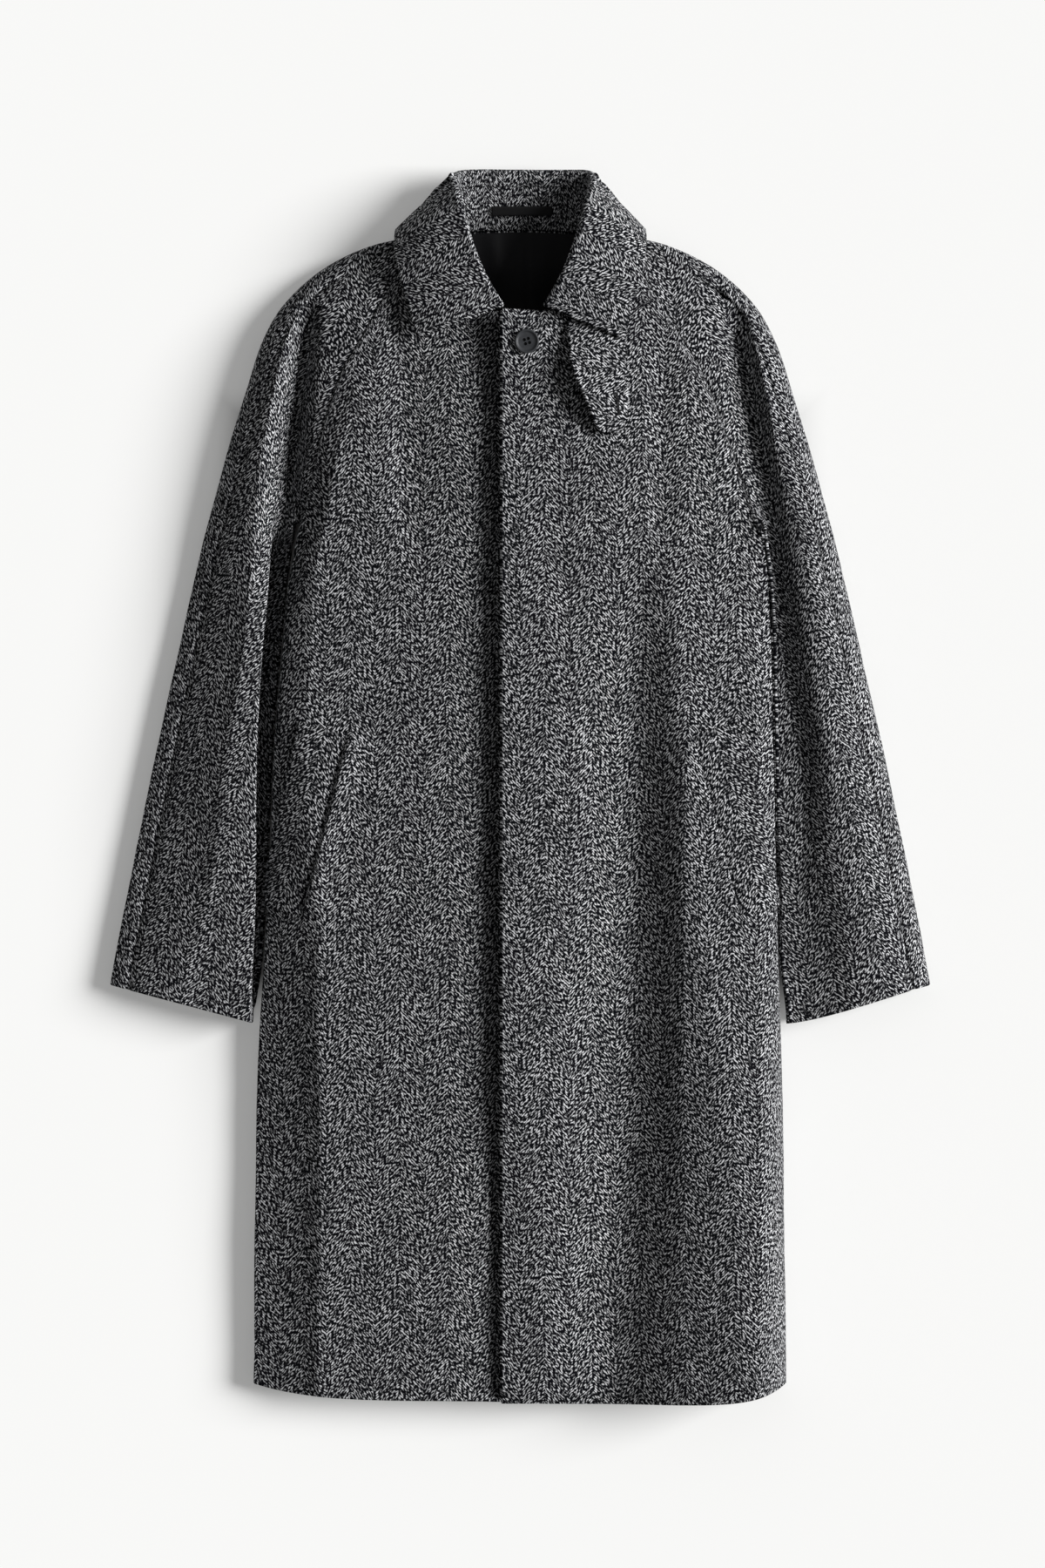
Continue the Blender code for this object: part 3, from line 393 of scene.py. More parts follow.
# Creases, each from its upper to its lower end: sideways bow, half width on its left and right, and
# height, which is negative for a trough
Crease = namedtuple("Crease", "x0 y0 x1 y1 bow left right rise")
CREASES = {
    LEFT: (
        Crease(-0.187, 0.500, -0.230, 0.130, 0.000, 0.015, 0.008, -0.0175),
        Crease(-0.138, 0.410, -0.150, 0.090, 0.006, 0.022, 0.024, 0.0025),
        Crease(-0.106, 0.450, -0.098, 0.180, -0.003, 0.016, 0.034, -0.0050),
        Crease(-0.110, 0.030, -0.124, -0.290, 0.006, 0.022, 0.028, -0.0012),
        Crease(-0.160, -0.040, -0.160, -0.800, -0.004, 0.024, 0.070, 0.0085),
        Crease(-0.078, -0.260, -0.086, -0.520, 0.004, 0.018, 0.018, -0.0010),
        Crease(-0.258, 0.072, -0.314, 0.036, 0.003, 0.007, 0.009, -0.0016),
        Crease(-0.252, 0.016, -0.322, -0.020, -0.004, 0.008, 0.010, -0.0013),
        Crease(-0.262, -0.060, -0.272, -0.190, 0.002, 0.010, 0.014, 0.0014),
    ),
    RIGHT: (
        Crease(0.122, 0.450, 0.130, 0.172, 0.003, 0.012, 0.018, -0.0050),
        Crease(-0.017, -0.240, -0.017, -0.760, 0.000, 0.030, 0.040, -0.0070),
        Crease(0.191, 0.500, 0.234, 0.205, 0.001, 0.020, 0.012, -0.0165),
        Crease(0.104, 0.280, 0.064, -0.800, 0.008, 0.048, 0.042, -0.0130),
        Crease(0.168, 0.170, 0.200, -0.720, -0.003, 0.034, 0.024, 0.0055),
        Crease(0.042, 0.190, 0.056, 0.162, 0.000, 0.014, 0.014, -0.0018),
        Crease(0.046, 0.100, 0.040, -0.240, 0.004, 0.022, 0.026, 0.0010),
        Crease(0.292, 0.060, 0.330, 0.020, 0.003, 0.008, 0.010, -0.0015),
        Crease(0.282, -0.010, 0.340, -0.060, -0.004, 0.009, 0.010, -0.0013),
        Crease(0.300, -0.080, 0.316, -0.190, 0.003, 0.014, 0.016, 0.0016),
    ),
}

# Long ridges of the sleeves, by outward distance
SLEEVE_RIDGES = {
    LEFT: (Crease(0.2425, 0.130, 0.2500, -0.290, 0.000, 0.010, 0.036, 0.0050),),
    RIGHT: (
        Crease(0.2190, 0.500, 0.3040, 0.060, 0.000, 0.018, 0.040, 0.0130),
        Crease(0.2640, 0.190, 0.3080, -0.260, 0.010, 0.017, 0.055, 0.0050),
    ),
}
LINING_CREASES = (
    Crease(0.006, 0.560, 0.009, 0.360, 0.000, 0.0022, 0.012, 0.0024),
    Crease(-0.034, 0.520, -0.024, 0.452, 0.004, 0.007, 0.008, 0.0010),
    Crease(-0.024, 0.518, -0.016, 0.466, -0.003, 0.005, 0.006, 0.0009),
    Crease(0.028, 0.520, 0.022, 0.440, -0.003, 0.007, 0.007, 0.0008),
)
CREASE_FADE = 0.3
CREASE_START = 0.03
EDGE_FADE = 0.016

# Loose folds of the under side, which lift it off the floor a little
BACK_CREASES = (
    Crease(-0.060, 0.300, -0.090, -0.380, 0.010, 0.016, 0.020, 0.0030),
    Crease(0.085, 0.180, 0.064, -0.450, -0.008, 0.018, 0.016, 0.0026),
    Crease(0.010, -0.100, 0.022, -0.520, 0.006, 0.014, 0.014, 0.0022),
)

# Soft unevenness of the cloth, by wave length and height, which dies out near the floor. Sewn borders
# are drawn in, and free edges are rounded by a share of the thickness.
UNDULATION = ((0.070, 0.0008), (0.022, 0.00022))
UNDULATION_FLOOR = 0.012
SEAM_DIP = 0.0020
SEAM_WIDTH = 0.0028
FREE_EDGE_ROUND = 0.42

# Stage: height and centre of the photographed field, the level at which it is measured, the sensor, the
# floor, and the patch of floor under the coat that has no glow of its own
PHOTO_HEIGHT = 1.44
PHOTO_CENTRE = (0.0020, 0.0024)
PICTURE_PLANE = 0.030
SENSOR = 36.0
FLOOR_Z = -0.0004
FLOOR_HALF = 30.0
# Painted light: beyond this patch the floor glows, which lightens the shadows the coat casts on it
SHADE_HALF = (0.232, 0.240)
SHADE_FADE = 0.055
SHADE_MIDDLE = 0.075
BLACK = (0.0, 0.0, 0.0, 1.0)
WHITE = (1.0, 1.0, 1.0, 1.0)
PAINTED_FLOOR_GLOW = (1.0, 1.0, 0.99, 1.0)

# Grids: counts of lines and columns, usual widths in metres for spacing those near the edges, shares of
# a stretch, and angles round a rolled edge in degrees
FRONT_NECK_COLUMNS = 4
FRONT_ROLL_COLUMNS = 3
COLUMN_CROWDING = 1.6
PANEL_STEPS = 13
PANEL_WIDTH = 0.5
BODY_LINES = 250
BACK_STEPS = 5
STATION_STEPS = 11
CUFF_STEPS = (0.4, 0.7, 0.88, 1.0)
SLEEVE_COLUMNS = 44
SLEEVE_WIDTH = 0.085
SLEEVE_CROWDING = 0.5
CROWDING_STATIONS = 2
OVERARM_STEPS = (0.80, 0.60, 0.42, 0.26, 0.12, 0.04)
ROLL_TURNS = (0, 15, 30, 45, 60, 75, 90)
NECK_LIFT_TURN = 60
UNDER_STEPS = (0.2, 0.4, 0.6, 0.8, 1.0)
INNER_STEPS = ((0.25, 70), (0.5, 45), (0.75, 25), (0.9, 14))
COLLAR_STEPS = 10
COLLAR_END_STEPS = (0.03, 0.065)
FALL_START_STEPS = (0, 0.12, 0.3, 0.5, 0.75)
FALL_TURN_STEP = 15
FALL_COLUMNS = 30
FALL_SKIPPED = 3
FALL_WIDTH = 0.075
BAND_COLUMNS = 14
TAB_LINES = 46
TAB_COLUMNS = 24
TAB_WIDTH = 0.045
WELT_LINES = 44
WELT_LENGTH = 0.17
WELT_COLUMNS = 20
LOOP_LINES = 20
LOOP_COLUMNS = 7
STITCH_POINTS = 120
BUTTONHOLE_POINTS = 24
CLOSE_TO_EDGE = (0.0012, 0.0030, 0.0055, 0.0090)


def ease(t):
    """Smooth step from 0 to 1."""
    t = np.clip(t, 0.0, 1.0)
    return t * t * (3 - 2 * t)


def between(t, start, end):
    """Smooth step of a single value, from 0 at the start to 1 at the end."""
    return float(ease((t - start) / (end - start)))


def through(keys, values, at):
    """Value at a key on a smooth curve through points given in rising order."""
    values = np.array(values)
    slopes = np.gradient(values, keys)
    at = np.asarray(at, dtype=float)
    i = np.clip(np.searchsorted(keys, at) - 1, 0, len(keys) - 2)
    span = keys[i + 1] - keys[i]
    t = np.clip((at - keys[i]) / span, 0.0, 1.0)
    start = (1 + 2 * t) * (1 - t) ** 2 * values[i] + t * (1 - t) ** 2 * span * slopes[i]
    end = t * t * (3 - 2 * t) * values[i + 1] - t * t * (1 - t) * span * slopes[i + 1]
    return start + end


def read(rows, column, y):
    """Value of a table's column on a smooth curve through its rows, which rise in y."""
    return through(np.array([row.y for row in rows]), [getattr(row, column) for row in rows], y)


def read_station(rows, station):
    """Values of all columns on smooth curves through a table's rows, which are stations 0, 1 and so on."""
    keys = np.arange(len(rows))
    return {c: through(keys, [getattr(row, c) for row in rows], station) for c in rows[0]._fields}


def walked(points, axis=1):
    """Length walked along each line of a grid, from 0 at its start."""
    steps = np.linalg.norm(np.diff(points, axis=axis), axis=-1)
    start = np.zeros_like(np.take(steps, [0], axis=axis))
    return np.concatenate([start, np.cumsum(steps, axis=axis)], axis=axis)


def rounded(depth, reach, crest, bulge):
    """Rise from 0 on a rolled edge to 1 at its reach inside the edge."""
    t = np.clip(depth / reach, 0.0, 1.0)
    return (1 - (1 - t) ** crest) ** (1 / bulge)


def rolled_under(depth, roll):
    """Share of the rim's height left on the under side of a rolled edge."""
    t = np.clip(depth / roll, 0.0, 1.0)
    return 1 - np.sqrt(1 - (1 - t) ** 2)


def body_edge(y, side):
    """Outward distance of the body's side edge, or of the fold beside the sleeve above it."""
    return read(BODY_ROWS, "left_edge" if side == LEFT else "right_edge", y)


def edge_rim(y, side):
    """Height of the outermost line of the body's rolled side edge and of the sleeve's inner edge."""
    return read(BODY_ROWS, "left_rim" if side == LEFT else "right_rim", y)


def arm_edge(y, side):
    """Outward distance of the sleeve's inner edge, or of the fold beside the body above it."""
    gap = ARM_GAP[side] + CUFF_GAP[side] * ease((CUFF_GAP_Y - y) / CUFF_GAP_REACH)
    return body_edge(y, side) + np.where(y < UNDERARM_Y, gap, 0)


def sleeve_station(station, side):
    """Inner point, outer point and height of the sleeve at stations, outward distances in x."""
    station = np.asarray(station, dtype=float)
    value = read_station(SLEEVE_ROWS, station)
    lowered = np.clip((SPREAD_TOP_Y - value["in_y"]) / (SPREAD_TOP_Y - UNDERARM_Y), 0, 1)
    spread = UNDERARM_SPREAD[side] * lowered ** SPREAD_POWER
    below = value["in_y"] < UNDERARM_Y
    in_x = np.where(below, arm_edge(value["in_y"], side), value["in_x"] + spread)
    lean = ease(station / LEAN_IN_STATIONS) * (1 - ease((station - UNDERARM_STATION) / LEAN_OUT_STATIONS))
    out_x = value["out_x"] + side * SLEEVE_LEAN * lean
    inner = np.stack([in_x, value["in_y"]], axis=-1)
    outer = np.stack([out_x, value["out_y"]], axis=-1)
    return inner, outer, value["height"]


OUTLINE = {side: sleeve_station(np.linspace(0, CUFF_STATION, OUTLINE_POINTS), side)[1] for side in SIDES}


def outline_distance(out, y, side):
    """Distance in plan from the outer edge of the shoulder and sleeve."""
    points = np.stack(np.broadcast_arrays(out, y), axis=-1)
    line = OUTLINE[side]
    nearest = np.full(points.shape[:-1], np.inf)
    for start, step in zip(line[:-1], np.diff(line, axis=0)):
        away = points - start
        share = np.clip(away @ step / (step @ step), 0, 1)
        nearest = np.minimum(nearest, np.linalg.norm(away - share[..., None] * step, axis=-1))
    return nearest


def arm_rim(y, side):
    """Height of the sleeve's inner edge, which lies lower than the body's edge beside it."""
    rim = edge_rim(y, side)
    return rim + (GAP_FLOOR[side] - rim) * ease((GAP_TOP_Y - y) / GAP_FADE)


def gap_wall(out, y):
    """How far a plan point has climbed the wall of the left sleeve, from 0 at its foot to 1."""
    wall = ease((out - read(GAP_ROWS, "wall", y) + GAP_HALF) / (2 * GAP_HALF))
    return 1 + (wall - 1) * ease((GAP_TOP_Y - y) / GAP_FADE)


def undercut(out, y):
    """How far the foot of the left sleeve's wall lies outward, under the sleeve's top."""
    foot = read(GAP_ROWS, "wall", y) - GAP_HALF - out
    return GAP_UNDERCUT * (1 - gap_wall(out, y)) * np.exp(-(np.maximum(foot, 0) / GAP_UNDERCUT) ** 2)


def from_line(x, y, start, end):
    """Share along a plan line, and distance to its side, of plan points."""
    run_x, run_y = end[0] - start[0], end[1] - start[1]
    length = math.hypot(run_x, run_y)
    along = ((x - start[0]) * run_x + (y - start[1]) * run_y) / length ** 2
    off = ((y - start[1]) * run_x - (x - start[0]) * run_y) / length
    return along, off


def crease_height(x, y, creases):
    """Height that a table of creases adds over plan points."""
    total = np.zeros(np.broadcast(x, y).shape)
    for crease in creases:
        along, off = from_line(x, y, (crease.x0, crease.y0), (crease.x1, crease.y1))
        off = off - crease.bow * 4 * along * (1 - along)
        fade = ease(along / CREASE_FADE) * ease((1 - along) / CREASE_FADE)
        half = np.where(off < 0, crease.left, crease.right)
        total += crease.rise * fade * np.exp(-(off / half) ** 2)
    return total


def shoulder_roll(out, y, side, height):
    """Height of the skin that rolls over the shoulder and the sleeve's outer edge."""
    plain = read(ARM_ROWS[side], "plain", y)
    crest = ARM_CREST + (PLAIN_CREST - ARM_CREST) * plain
    bulge = ARM_BULGE + (PLAIN_BULGE - ARM_BULGE) * plain
    rise = rounded(outline_distance(out, y, side), read(ARM_ROWS[side], "reach", y), crest, bulge)
    return ARM_RIM + (height - ARM_RIM) * rise


def body_top(out, y, side):
    """Height of the fronts' outer skin over a plan point."""
    edge = body_edge(y, side)
    rim = edge_rim(y, side)
    height = read(BODY_ROWS, "height", y)
    crown = CROWN_RISE - CROWN_SLOPE * (np.hypot(out, CROWN_ROUND) - CROWN_ROUND)
    height = height + crown * (1 - ease((y - CROWN_TOP_Y) / CROWN_FADE))
    if side == RIGHT:
        start = read(FLUTE_ROWS, "start", y)
        crest = read(FLUTE_ROWS, "crest", y)
        height = height + read(FLUTE_ROWS, "rise", y) * ease((out - start) / (crest - start))
        height = height - FLUTE_FALL * np.maximum(out - crest, 0)
    reach = read(SIDE_ROWS[side], "reach", y)
    bulge = read(SIDE_ROWS[side], "bulge", y)
    skin = rim + (height - rim) * rounded(edge - out, reach, SIDE_CREST[side], bulge)
    inset = np.maximum(ease((edge - out) / EDGE_FADE), ease((y - UNDERARM_Y) / CREASE_START))
    creased = skin + inset * crease_height(side * out, y, CREASES[side])
    return np.minimum(creased, shoulder_roll(out, y, side, height))


def sleeve_top(out, y, side, height):
    """Height of the sleeve's outer skin over a plan point."""
    below = ease((UNDERARM_Y - y) / SOFTENING)
    rim = arm_rim(y, side)
    height = height + ARM_LIFT[side] * below
    reach = VALLEY_REACH[side] + (ARM_INNER_REACH - VALLEY_REACH[side]) * below
    bulge = 1 + (INNER_BULGE - 1) * below
    depth = out - arm_edge(y, side)
    if side == RIGHT:
        away = np.maximum(out - read(TROUGH_ROWS, "x", y), 0)
        away = away / read(TROUGH_ROWS, "half_width", y)
        height = height - np.maximum(read(TROUGH_ROWS, "depth", y), 0) * np.exp(-away ** 2)
    height = height + crease_height(out, y, SLEEVE_RIDGES[side])
    rise = rounded(np.maximum(depth, 0), reach, INNER_CREST, bulge)
    if side == LEFT:
        gap = ease((GAP_TOP_Y - y) / GAP_FADE)
        rise = rise + (gap_wall(out, y) - rise) * gap
    skin = rim + (height - rim) * rise
    inset = np.maximum(ease(depth / EDGE_FADE), ease((y - UNDERARM_Y) / CREASE_START))
    skin = np.maximum(skin + inset * crease_height(side * out, y, CREASES[side]), SLEEVE_LEAST)
    skin = np.where(depth < -ARM_GAP[side], body_top(out, y, side), skin)
    return np.minimum(skin, shoulder_roll(out, y, side, height))


def under_skin(depth, y, roll, rim):
    """Height of the under side, which lifts at rolled edges, at the underarm and under the neck."""
    fade = 1 - ease((y - UNDERARM_Y) / UNDERARM_FADE)
    neck = NECK_LIFT * ease((y - NECK_LIFT_Y) / NECK_LIFT_REACH)
    return rim * rolled_under(np.abs(depth), roll) * fade + neck


def fly_lift(x, y):
    """How far the right front stands above the left one along the fly."""
    fade = 1 - ease((x - FLY_END_X) / FLY_FADE)
    top = ease((y - TOP_LIFT_Y) / TOP_LIFT_REACH) * (1 - ease((x - FLY_EDGE_X) / FLY_FADE))
    return (FLY_LIFT * fade + TOP_LIFT * top) * ease((y - FLY_HEM_Y) / FLY_HEM_FADE)


def fly_dip(x, y):
    """How far the left front sinks beside and below the fly."""
    depth = sum(dip * np.exp(-(np.minimum(x - place, 0) / half) ** 2) for place, half, dip in FLY_DIPS)
    return depth * ease((y - FLY_HEM_Y) / FLY_HEM_FADE)


def front_skin(out, y, side):
    """Point on a front's outer skin over a plan point."""
    x = side * out
    z = body_top(out, y, side)
    z = z + fly_lift(x, y) if side == RIGHT else z - fly_dip(x, y)
    return np.stack(np.broadcast_arrays(x, y, z), axis=-1)


def ring_point(across, y, side, centre):
    """Point of a front: across runs 0 centre, 1 side edge, 2 touching the floor, 3 inward."""
    across, y = np.broadcast_arrays(np.asarray(across, dtype=float), np.asarray(y, dtype=float))
    edge = body_edge(y, side)
    out = centre + (edge - centre) * (1 - (1 - np.minimum(across, 1)) ** COLUMN_CROWDING)
    turn = np.clip(across - 1, 0, 1) * math.pi / 2
    depth = UNDER_ROLL * (1 - np.cos(turn)) + np.maximum(across - 2, 0) * UNDER_REACH
    rim = edge_rim(y, side)
    under = np.stack([side * (edge - depth), y, rim * (1 - np.sin(turn))], axis=-1)
    return np.where((across <= 1)[..., None], front_skin(out, y, side), under)


def across_of(out, y, side, centre):
    """The across value of a plan point on a front."""
    share = np.minimum((out - centre) / (body_edge(y, side) - centre), 1.0)
    return 1 - (1 - share) ** (1 / COLUMN_CROWDING)


def hem_y(out, side):
    """Hem line of a front, which rises towards the side."""
    return HEM_Y[side] + HEM_RISE[side] * np.abs(out / HEM_HALF) ** HEM_POWER[side]


def underarm_point(side):
    """The point where the side, underarm and raglan seams meet."""
    return ring_point(1 + SEAM_TURN, UNDERARM_Y, side, 0.0)


def raglan_point(station, side):
    """Point of the front raglan seam at stations from the neck to the underarm."""
    inner = sleeve_station(station, side)[0]
    last = sleeve_station(UNDERARM_STATION, side)[0]
    corner = underarm_point(side) - front_skin(last[0], last[1], side)
    near = ease(np.asarray(station, dtype=float) - (UNDERARM_STATION - 1))
    return front_skin(inner[..., 0], inner[..., 1], side) + corner * near[..., None]


def close_steps(count, length, both=True):
    """Shares from 0 to 1, crowded within a few millimetres of the start and, if both, of the end."""
    near = np.array(CLOSE_TO_EDGE) / length
    far = 1 - near[::-1] if both else np.array([])
    middle = np.linspace(near[-1], far[0] if both else 1.0, count)[1:-1]
    return np.concatenate([[0.0], near, middle, far, [1.0]])


def front_grid(side):
    """Grid of a front: lines from hem to top edge, columns from the centre to the side seam."""
    centre = -UNDERLAP_X if side == LEFT else FLY_EDGE_X
    last = FRONT_NECK_COLUMNS + UNDERARM_STATION
    edge_column = last - FRONT_ROLL_COLUMNS
    column = last * close_steps(last * PANEL_STEPS, PANEL_WIDTH, both=False)
    neck = np.array(((centre, NECK_FRONT_Y),) + NECK_FRONT)
    keys = np.arange(len(neck))
    on_neck = np.stack([through(keys, neck[:, k], column) for k in range(2)], axis=-1)
    on_seam = sleeve_station(column - FRONT_NECK_COLUMNS, side)[0]
    top = np.where((column < FRONT_NECK_COLUMNS)[:, None], on_neck, on_seam)
    turned = SEAM_TURN * ease(column - last + 1)
    top_across = across_of(top[:, 0], top[:, 1], side, centre) + turned
    hem_across = np.where(column < edge_column, column / edge_column,
                          1 + SEAM_UNDER * (column - edge_column) / FRONT_ROLL_COLUMNS)
    out_at_hem = np.abs(ring_point(np.minimum(hem_across, 1), SIDE_HEM_Y, side, centre)[:, 0])
    start = hem_y(out_at_hem, side)
    share = close_steps(BODY_LINES, 1.0)[:, None]
    powers = [ease(share)] + [share ** p for p in SEAM_CLIMB]
    along = np.clip(column - edge_column, 0, FRONT_ROLL_COLUMNS)
    climb = sum(p * np.clip(1 - np.abs(along - k), 0, 1) for k, p in enumerate(powers))
    across = hem_across + (top_across - hem_across) * climb
    y = start + (top[:, 1] - start) * share
    grid = ring_point(across, y, side, centre)
    on_raglan = column >= FRONT_NECK_COLUMNS
    shift = np.zeros((len(column), 3))
    shift[on_raglan] = raglan_point(column[on_raglan] - FRONT_NECK_COLUMNS, side) - grid[-1, on_raglan]
    grid += shift * np.exp(-((1 - share) / RAGLAN_BLEND) ** 2)[..., None]
    grid[..., 2] += pocket_lip(side * grid[..., 0], grid[..., 1], side) * (across <= 1)
    return grid, np.stack([side * centre + walked(grid[..., [0, 2]]), grid[..., 1]], axis=-1)


def pocket_lip(out, y, side):
    """Height of the front's edge along the pocket, where it stands over the welt."""
    along, off = from_line(out, y, WELT_TOP, WELT_BOTTOM)
    past, reach = POCKET_ENDS
    fade = ease((along + past) / reach) * ease((1 + past - along) / reach)
    return POCKET_LIFT[side] * fade * np.exp(-(off / np.where(off < 0, POCKET_REACH, POCKET_DROP)) ** 2)


def back_grid(side_seams):
    """Grid of the back: lines from hem to top edge, columns from the left to the right side seam."""
    halves = {side: back_half(side, side_seams[side]) for side in SIDES}
    grid = np.concatenate([halves[LEFT], halves[RIGHT][:, -2::-1]], axis=1)
    grid[..., 2] += crease_height(grid[..., 0], grid[..., 1], BACK_CREASES)
    return grid, grid[..., :2].copy()


def back_half(side, seam):
    """Half of the back: lines from hem to top edge, columns from the side seam to the centre."""
    last = UNDERARM_STATION + NECK_BACK_COLUMNS
    column = np.linspace(0, last, last * BACK_STEPS + 1)
    station = np.clip(UNDERARM_STATION - column, 0, UNDERARM_STATION)
    top = back_raglan(station, side)
    share = 1 - np.maximum(column - UNDERARM_STATION, 0) / NECK_BACK_COLUMNS
    neck_top = np.stack([top[-1, 0] * share, NECK_BACK_Y - NECK_BACK_DROP * share ** 2], axis=-1)
    top = np.where((column > UNDERARM_STATION)[:, None], neck_top, top)
    lines = close_steps(BODY_LINES, 1.0)[:, None]
    hem_out = side * seam[0, 0] * (1 - column / last)
    out = hem_out + (top[:, 0] - hem_out) * ease(lines)
    out = out + (side * seam[:, :1] - out[:, :1]) * np.clip(1 - column / SEAM_EASE, 0, 1)
    start = seam[0, 1] + (BACK_HEM_Y - seam[0, 1]) * ease(column / SEAM_EASE)
    y = start + (top[:, 1] - start) * lines
    z = under_skin(body_edge(y, side) - out, y, UNDER_ROLL, edge_rim(y, side))
    grid = np.stack([side * out, y, z], axis=-1)
    grid[:, 0] = seam
    return grid


def back_raglan(station, side):
    """Plan point of the back raglan seam at stations from the neck to the underarm."""
    near_neck = np.maximum(1 - np.asarray(station) / BACK_SEAM_STATIONS, 0) ** BACK_SEAM_POWER
    return sleeve_station(station, side)[0] + np.array(BACK_SEAM_SHIFT) * near_neck[..., None]


def sleeve_stations():
    """Stations of the sleeve's lines from the neck to the cuff, crowded at the cuff."""
    station = np.linspace(0, CUFF_STATION, CUFF_STATION * STATION_STEPS + 1)
    last = station[-2]
    return np.concatenate([station[:-1], last + (CUFF_STATION - last) * np.array(CUFF_STEPS)])


def underarm_seam(inner, side):
    """Points of the underarm seam on the sleeve's inner edge."""
    turn = SEAM_TURN * math.pi / 2
    if side == RIGHT:
        turn = turn * ease((SLOT_TOP_Y - inner[..., 1]) / SLOT_FADE)
    out = inner[..., 0] + ARM_UNDER_ROLL * (1 - np.cos(turn))
    corner = ease((inner[..., 1] - UNDERARM_Y) / UNDERARM_FADE + 1)
    low = arm_rim(inner[..., 1], side) * (1 - np.sin(turn))
    z = low * (1 - corner) + underarm_point(side)[2] * corner
    return np.stack([side * out, inner[..., 1], z], axis=-1)


def grain_of(points, side):
    """Plan places across and along the sleeve's grain."""
    turn = SLEEVE_GRAIN * side
    across = points[..., 0] * math.cos(turn) + points[..., 1] * math.sin(turn)
    along = points[..., 1] * math.cos(turn) - points[..., 0] * math.sin(turn)
    return across, along


def sleeve_front_grid(side):
    """Grid of a sleeve front: lines from neck to cuff, columns from overarm to inner seam."""
    station = sleeve_stations()
    inner, outer, height = sleeve_station(station, side)
    along = inner - outer
    length = np.linalg.norm(along, axis=-1)
    inset = np.minimum(OVERARM_INSET, OVERARM_SHARE * length) / length
    crowding = 1 + SLEEVE_CROWDING * ease((station - UNDERARM_STATION) / CROWDING_STATIONS)
    share = close_steps(SLEEVE_COLUMNS, SLEEVE_WIDTH)
    reached = inset[:, None] + (1 - inset[:, None]) * (1 - (1 - share) ** crowding[:, None])
    plan = outer[:, None] + along[:, None] * reached[..., None]
    z = sleeve_top(plan[..., 0], plan[..., 1], side, height[:, None])
    out = plan[..., 0] + (undercut(plan[..., 0], plan[..., 1]) if side == LEFT else 0)
    grid = np.stack([side * out, plan[..., 1], z], axis=-1)
    seam = np.where((station <= UNDERARM_STATION)[:, None],
                    raglan_point(np.minimum(station, UNDERARM_STATION), side), underarm_seam(inner, side))
    shift = seam - grid[:, -1]
    away = (1 - reached) * length[:, None]
    tuck = np.where(station <= UNDERARM_STATION, SEAM_TUCK[0], SEAM_TUCK[1])
    grid += shift[:, None] * np.exp(-(away / tuck[:, None]) ** 2)[..., None]
    bow_cuff(grid, station, share, side)
    across, lengthwise = grain_of(grid, side)
    u = across[:, :1] - side * walked(grid[..., [0, 2]])
    return grid, np.stack([u, lengthwise], axis=-1)


def bow_cuff(grid, station, share, side):
    """Let the cuff's edge hang a little lower in its middle."""
    near = ease((station - CUFF_STATION) / CUFF_BOW_STATIONS + 1)[:, None]
    grid[..., 1] -= CUFF_BOW[side] * near * np.sin(math.pi * share)


def sleeve_back_grid(side, front, front_cloth):
    """Grid of a sleeve back, from the overarm seam round the outer edge to the inner seam."""
    station = sleeve_stations()
    inner, outer, height = sleeve_station(station, side)
    to_front = inner - outer
    front_length = np.linalg.norm(to_front, axis=-1, keepdims=True)
    to_front = to_front / front_length
    inset = np.minimum(OVERARM_INSET, OVERARM_SHARE * front_length)
    on_body = station < UNDERARM_STATION
    inner = np.where(on_body[:, None], back_raglan(station, side), inner)
    along = inner - outer
    length = np.linalg.norm(along, axis=-1, keepdims=True)
    along = along / length
    roll = np.minimum(ARM_UNDER_ROLL, ARM_ROLL_SHARE * length)
    lines = [front[:, 0]]
    for share in OVERARM_STEPS:
        plan = outer + to_front * inset * share
        lines.append(lift_plan(plan, sleeve_top(plan[:, 0], plan[:, 1], side, height), side))
    neck = under_skin(1.0, outer[:, 1], 1.0, 0.0)
    for turn in np.radians(ROLL_TURNS):
        plan = outer + along * roll * (1 - math.cos(turn))
        low = neck * ease(turn / math.radians(NECK_LIFT_TURN)) + ARM_RIM * (1 - math.sin(turn))
        lines.append(lift_plan(plan, low, side))
    free = station > UNDERARM_STATION
    inner_rim = arm_rim(inner[:, 1], side)
    flat_to = length - np.where(free[:, None], roll, ARM_FLAT_SHARE * length)
    for share in UNDER_STEPS:
        plan = outer + along * (roll + (flat_to - roll) * share)
        lines.append(lift_plan(plan, sleeve_under(plan, station, side), side))
    for share, turn in INNER_STEPS:
        angle = math.radians(turn)
        rolled = inner - along * roll * (1 - math.cos(angle))
        flat = outer + along * (flat_to + (length - flat_to) * share)
        low = np.where(free, inner_rim * (1 - math.sin(angle)), sleeve_under(flat, station, side))
        lines.append(lift_plan(np.where(free[:, None], rolled, flat), low, side))
    end = lift_plan(inner, sleeve_under(inner, station, side), side)
    near = ease(station - (UNDERARM_STATION - 1))[:, None] * on_body[:, None]
    end = end + (underarm_point(side) - end) * near
    end = np.where((station >= UNDERARM_STATION)[:, None], front[:, -1], end)
    lines.append(end)
    grid = np.stack(lines, axis=1)
    u = front_cloth[:, :1, 0] + side * walked(grid)
    return grid, np.stack([u, grain_of(grid, side)[1]], axis=-1)


def lift_plan(plan, z, side):
    """Plan points, outward distances in x, raised to a height."""
    return np.stack(np.broadcast_arrays(side * plan[..., 0], plan[..., 1], z), axis=-1)


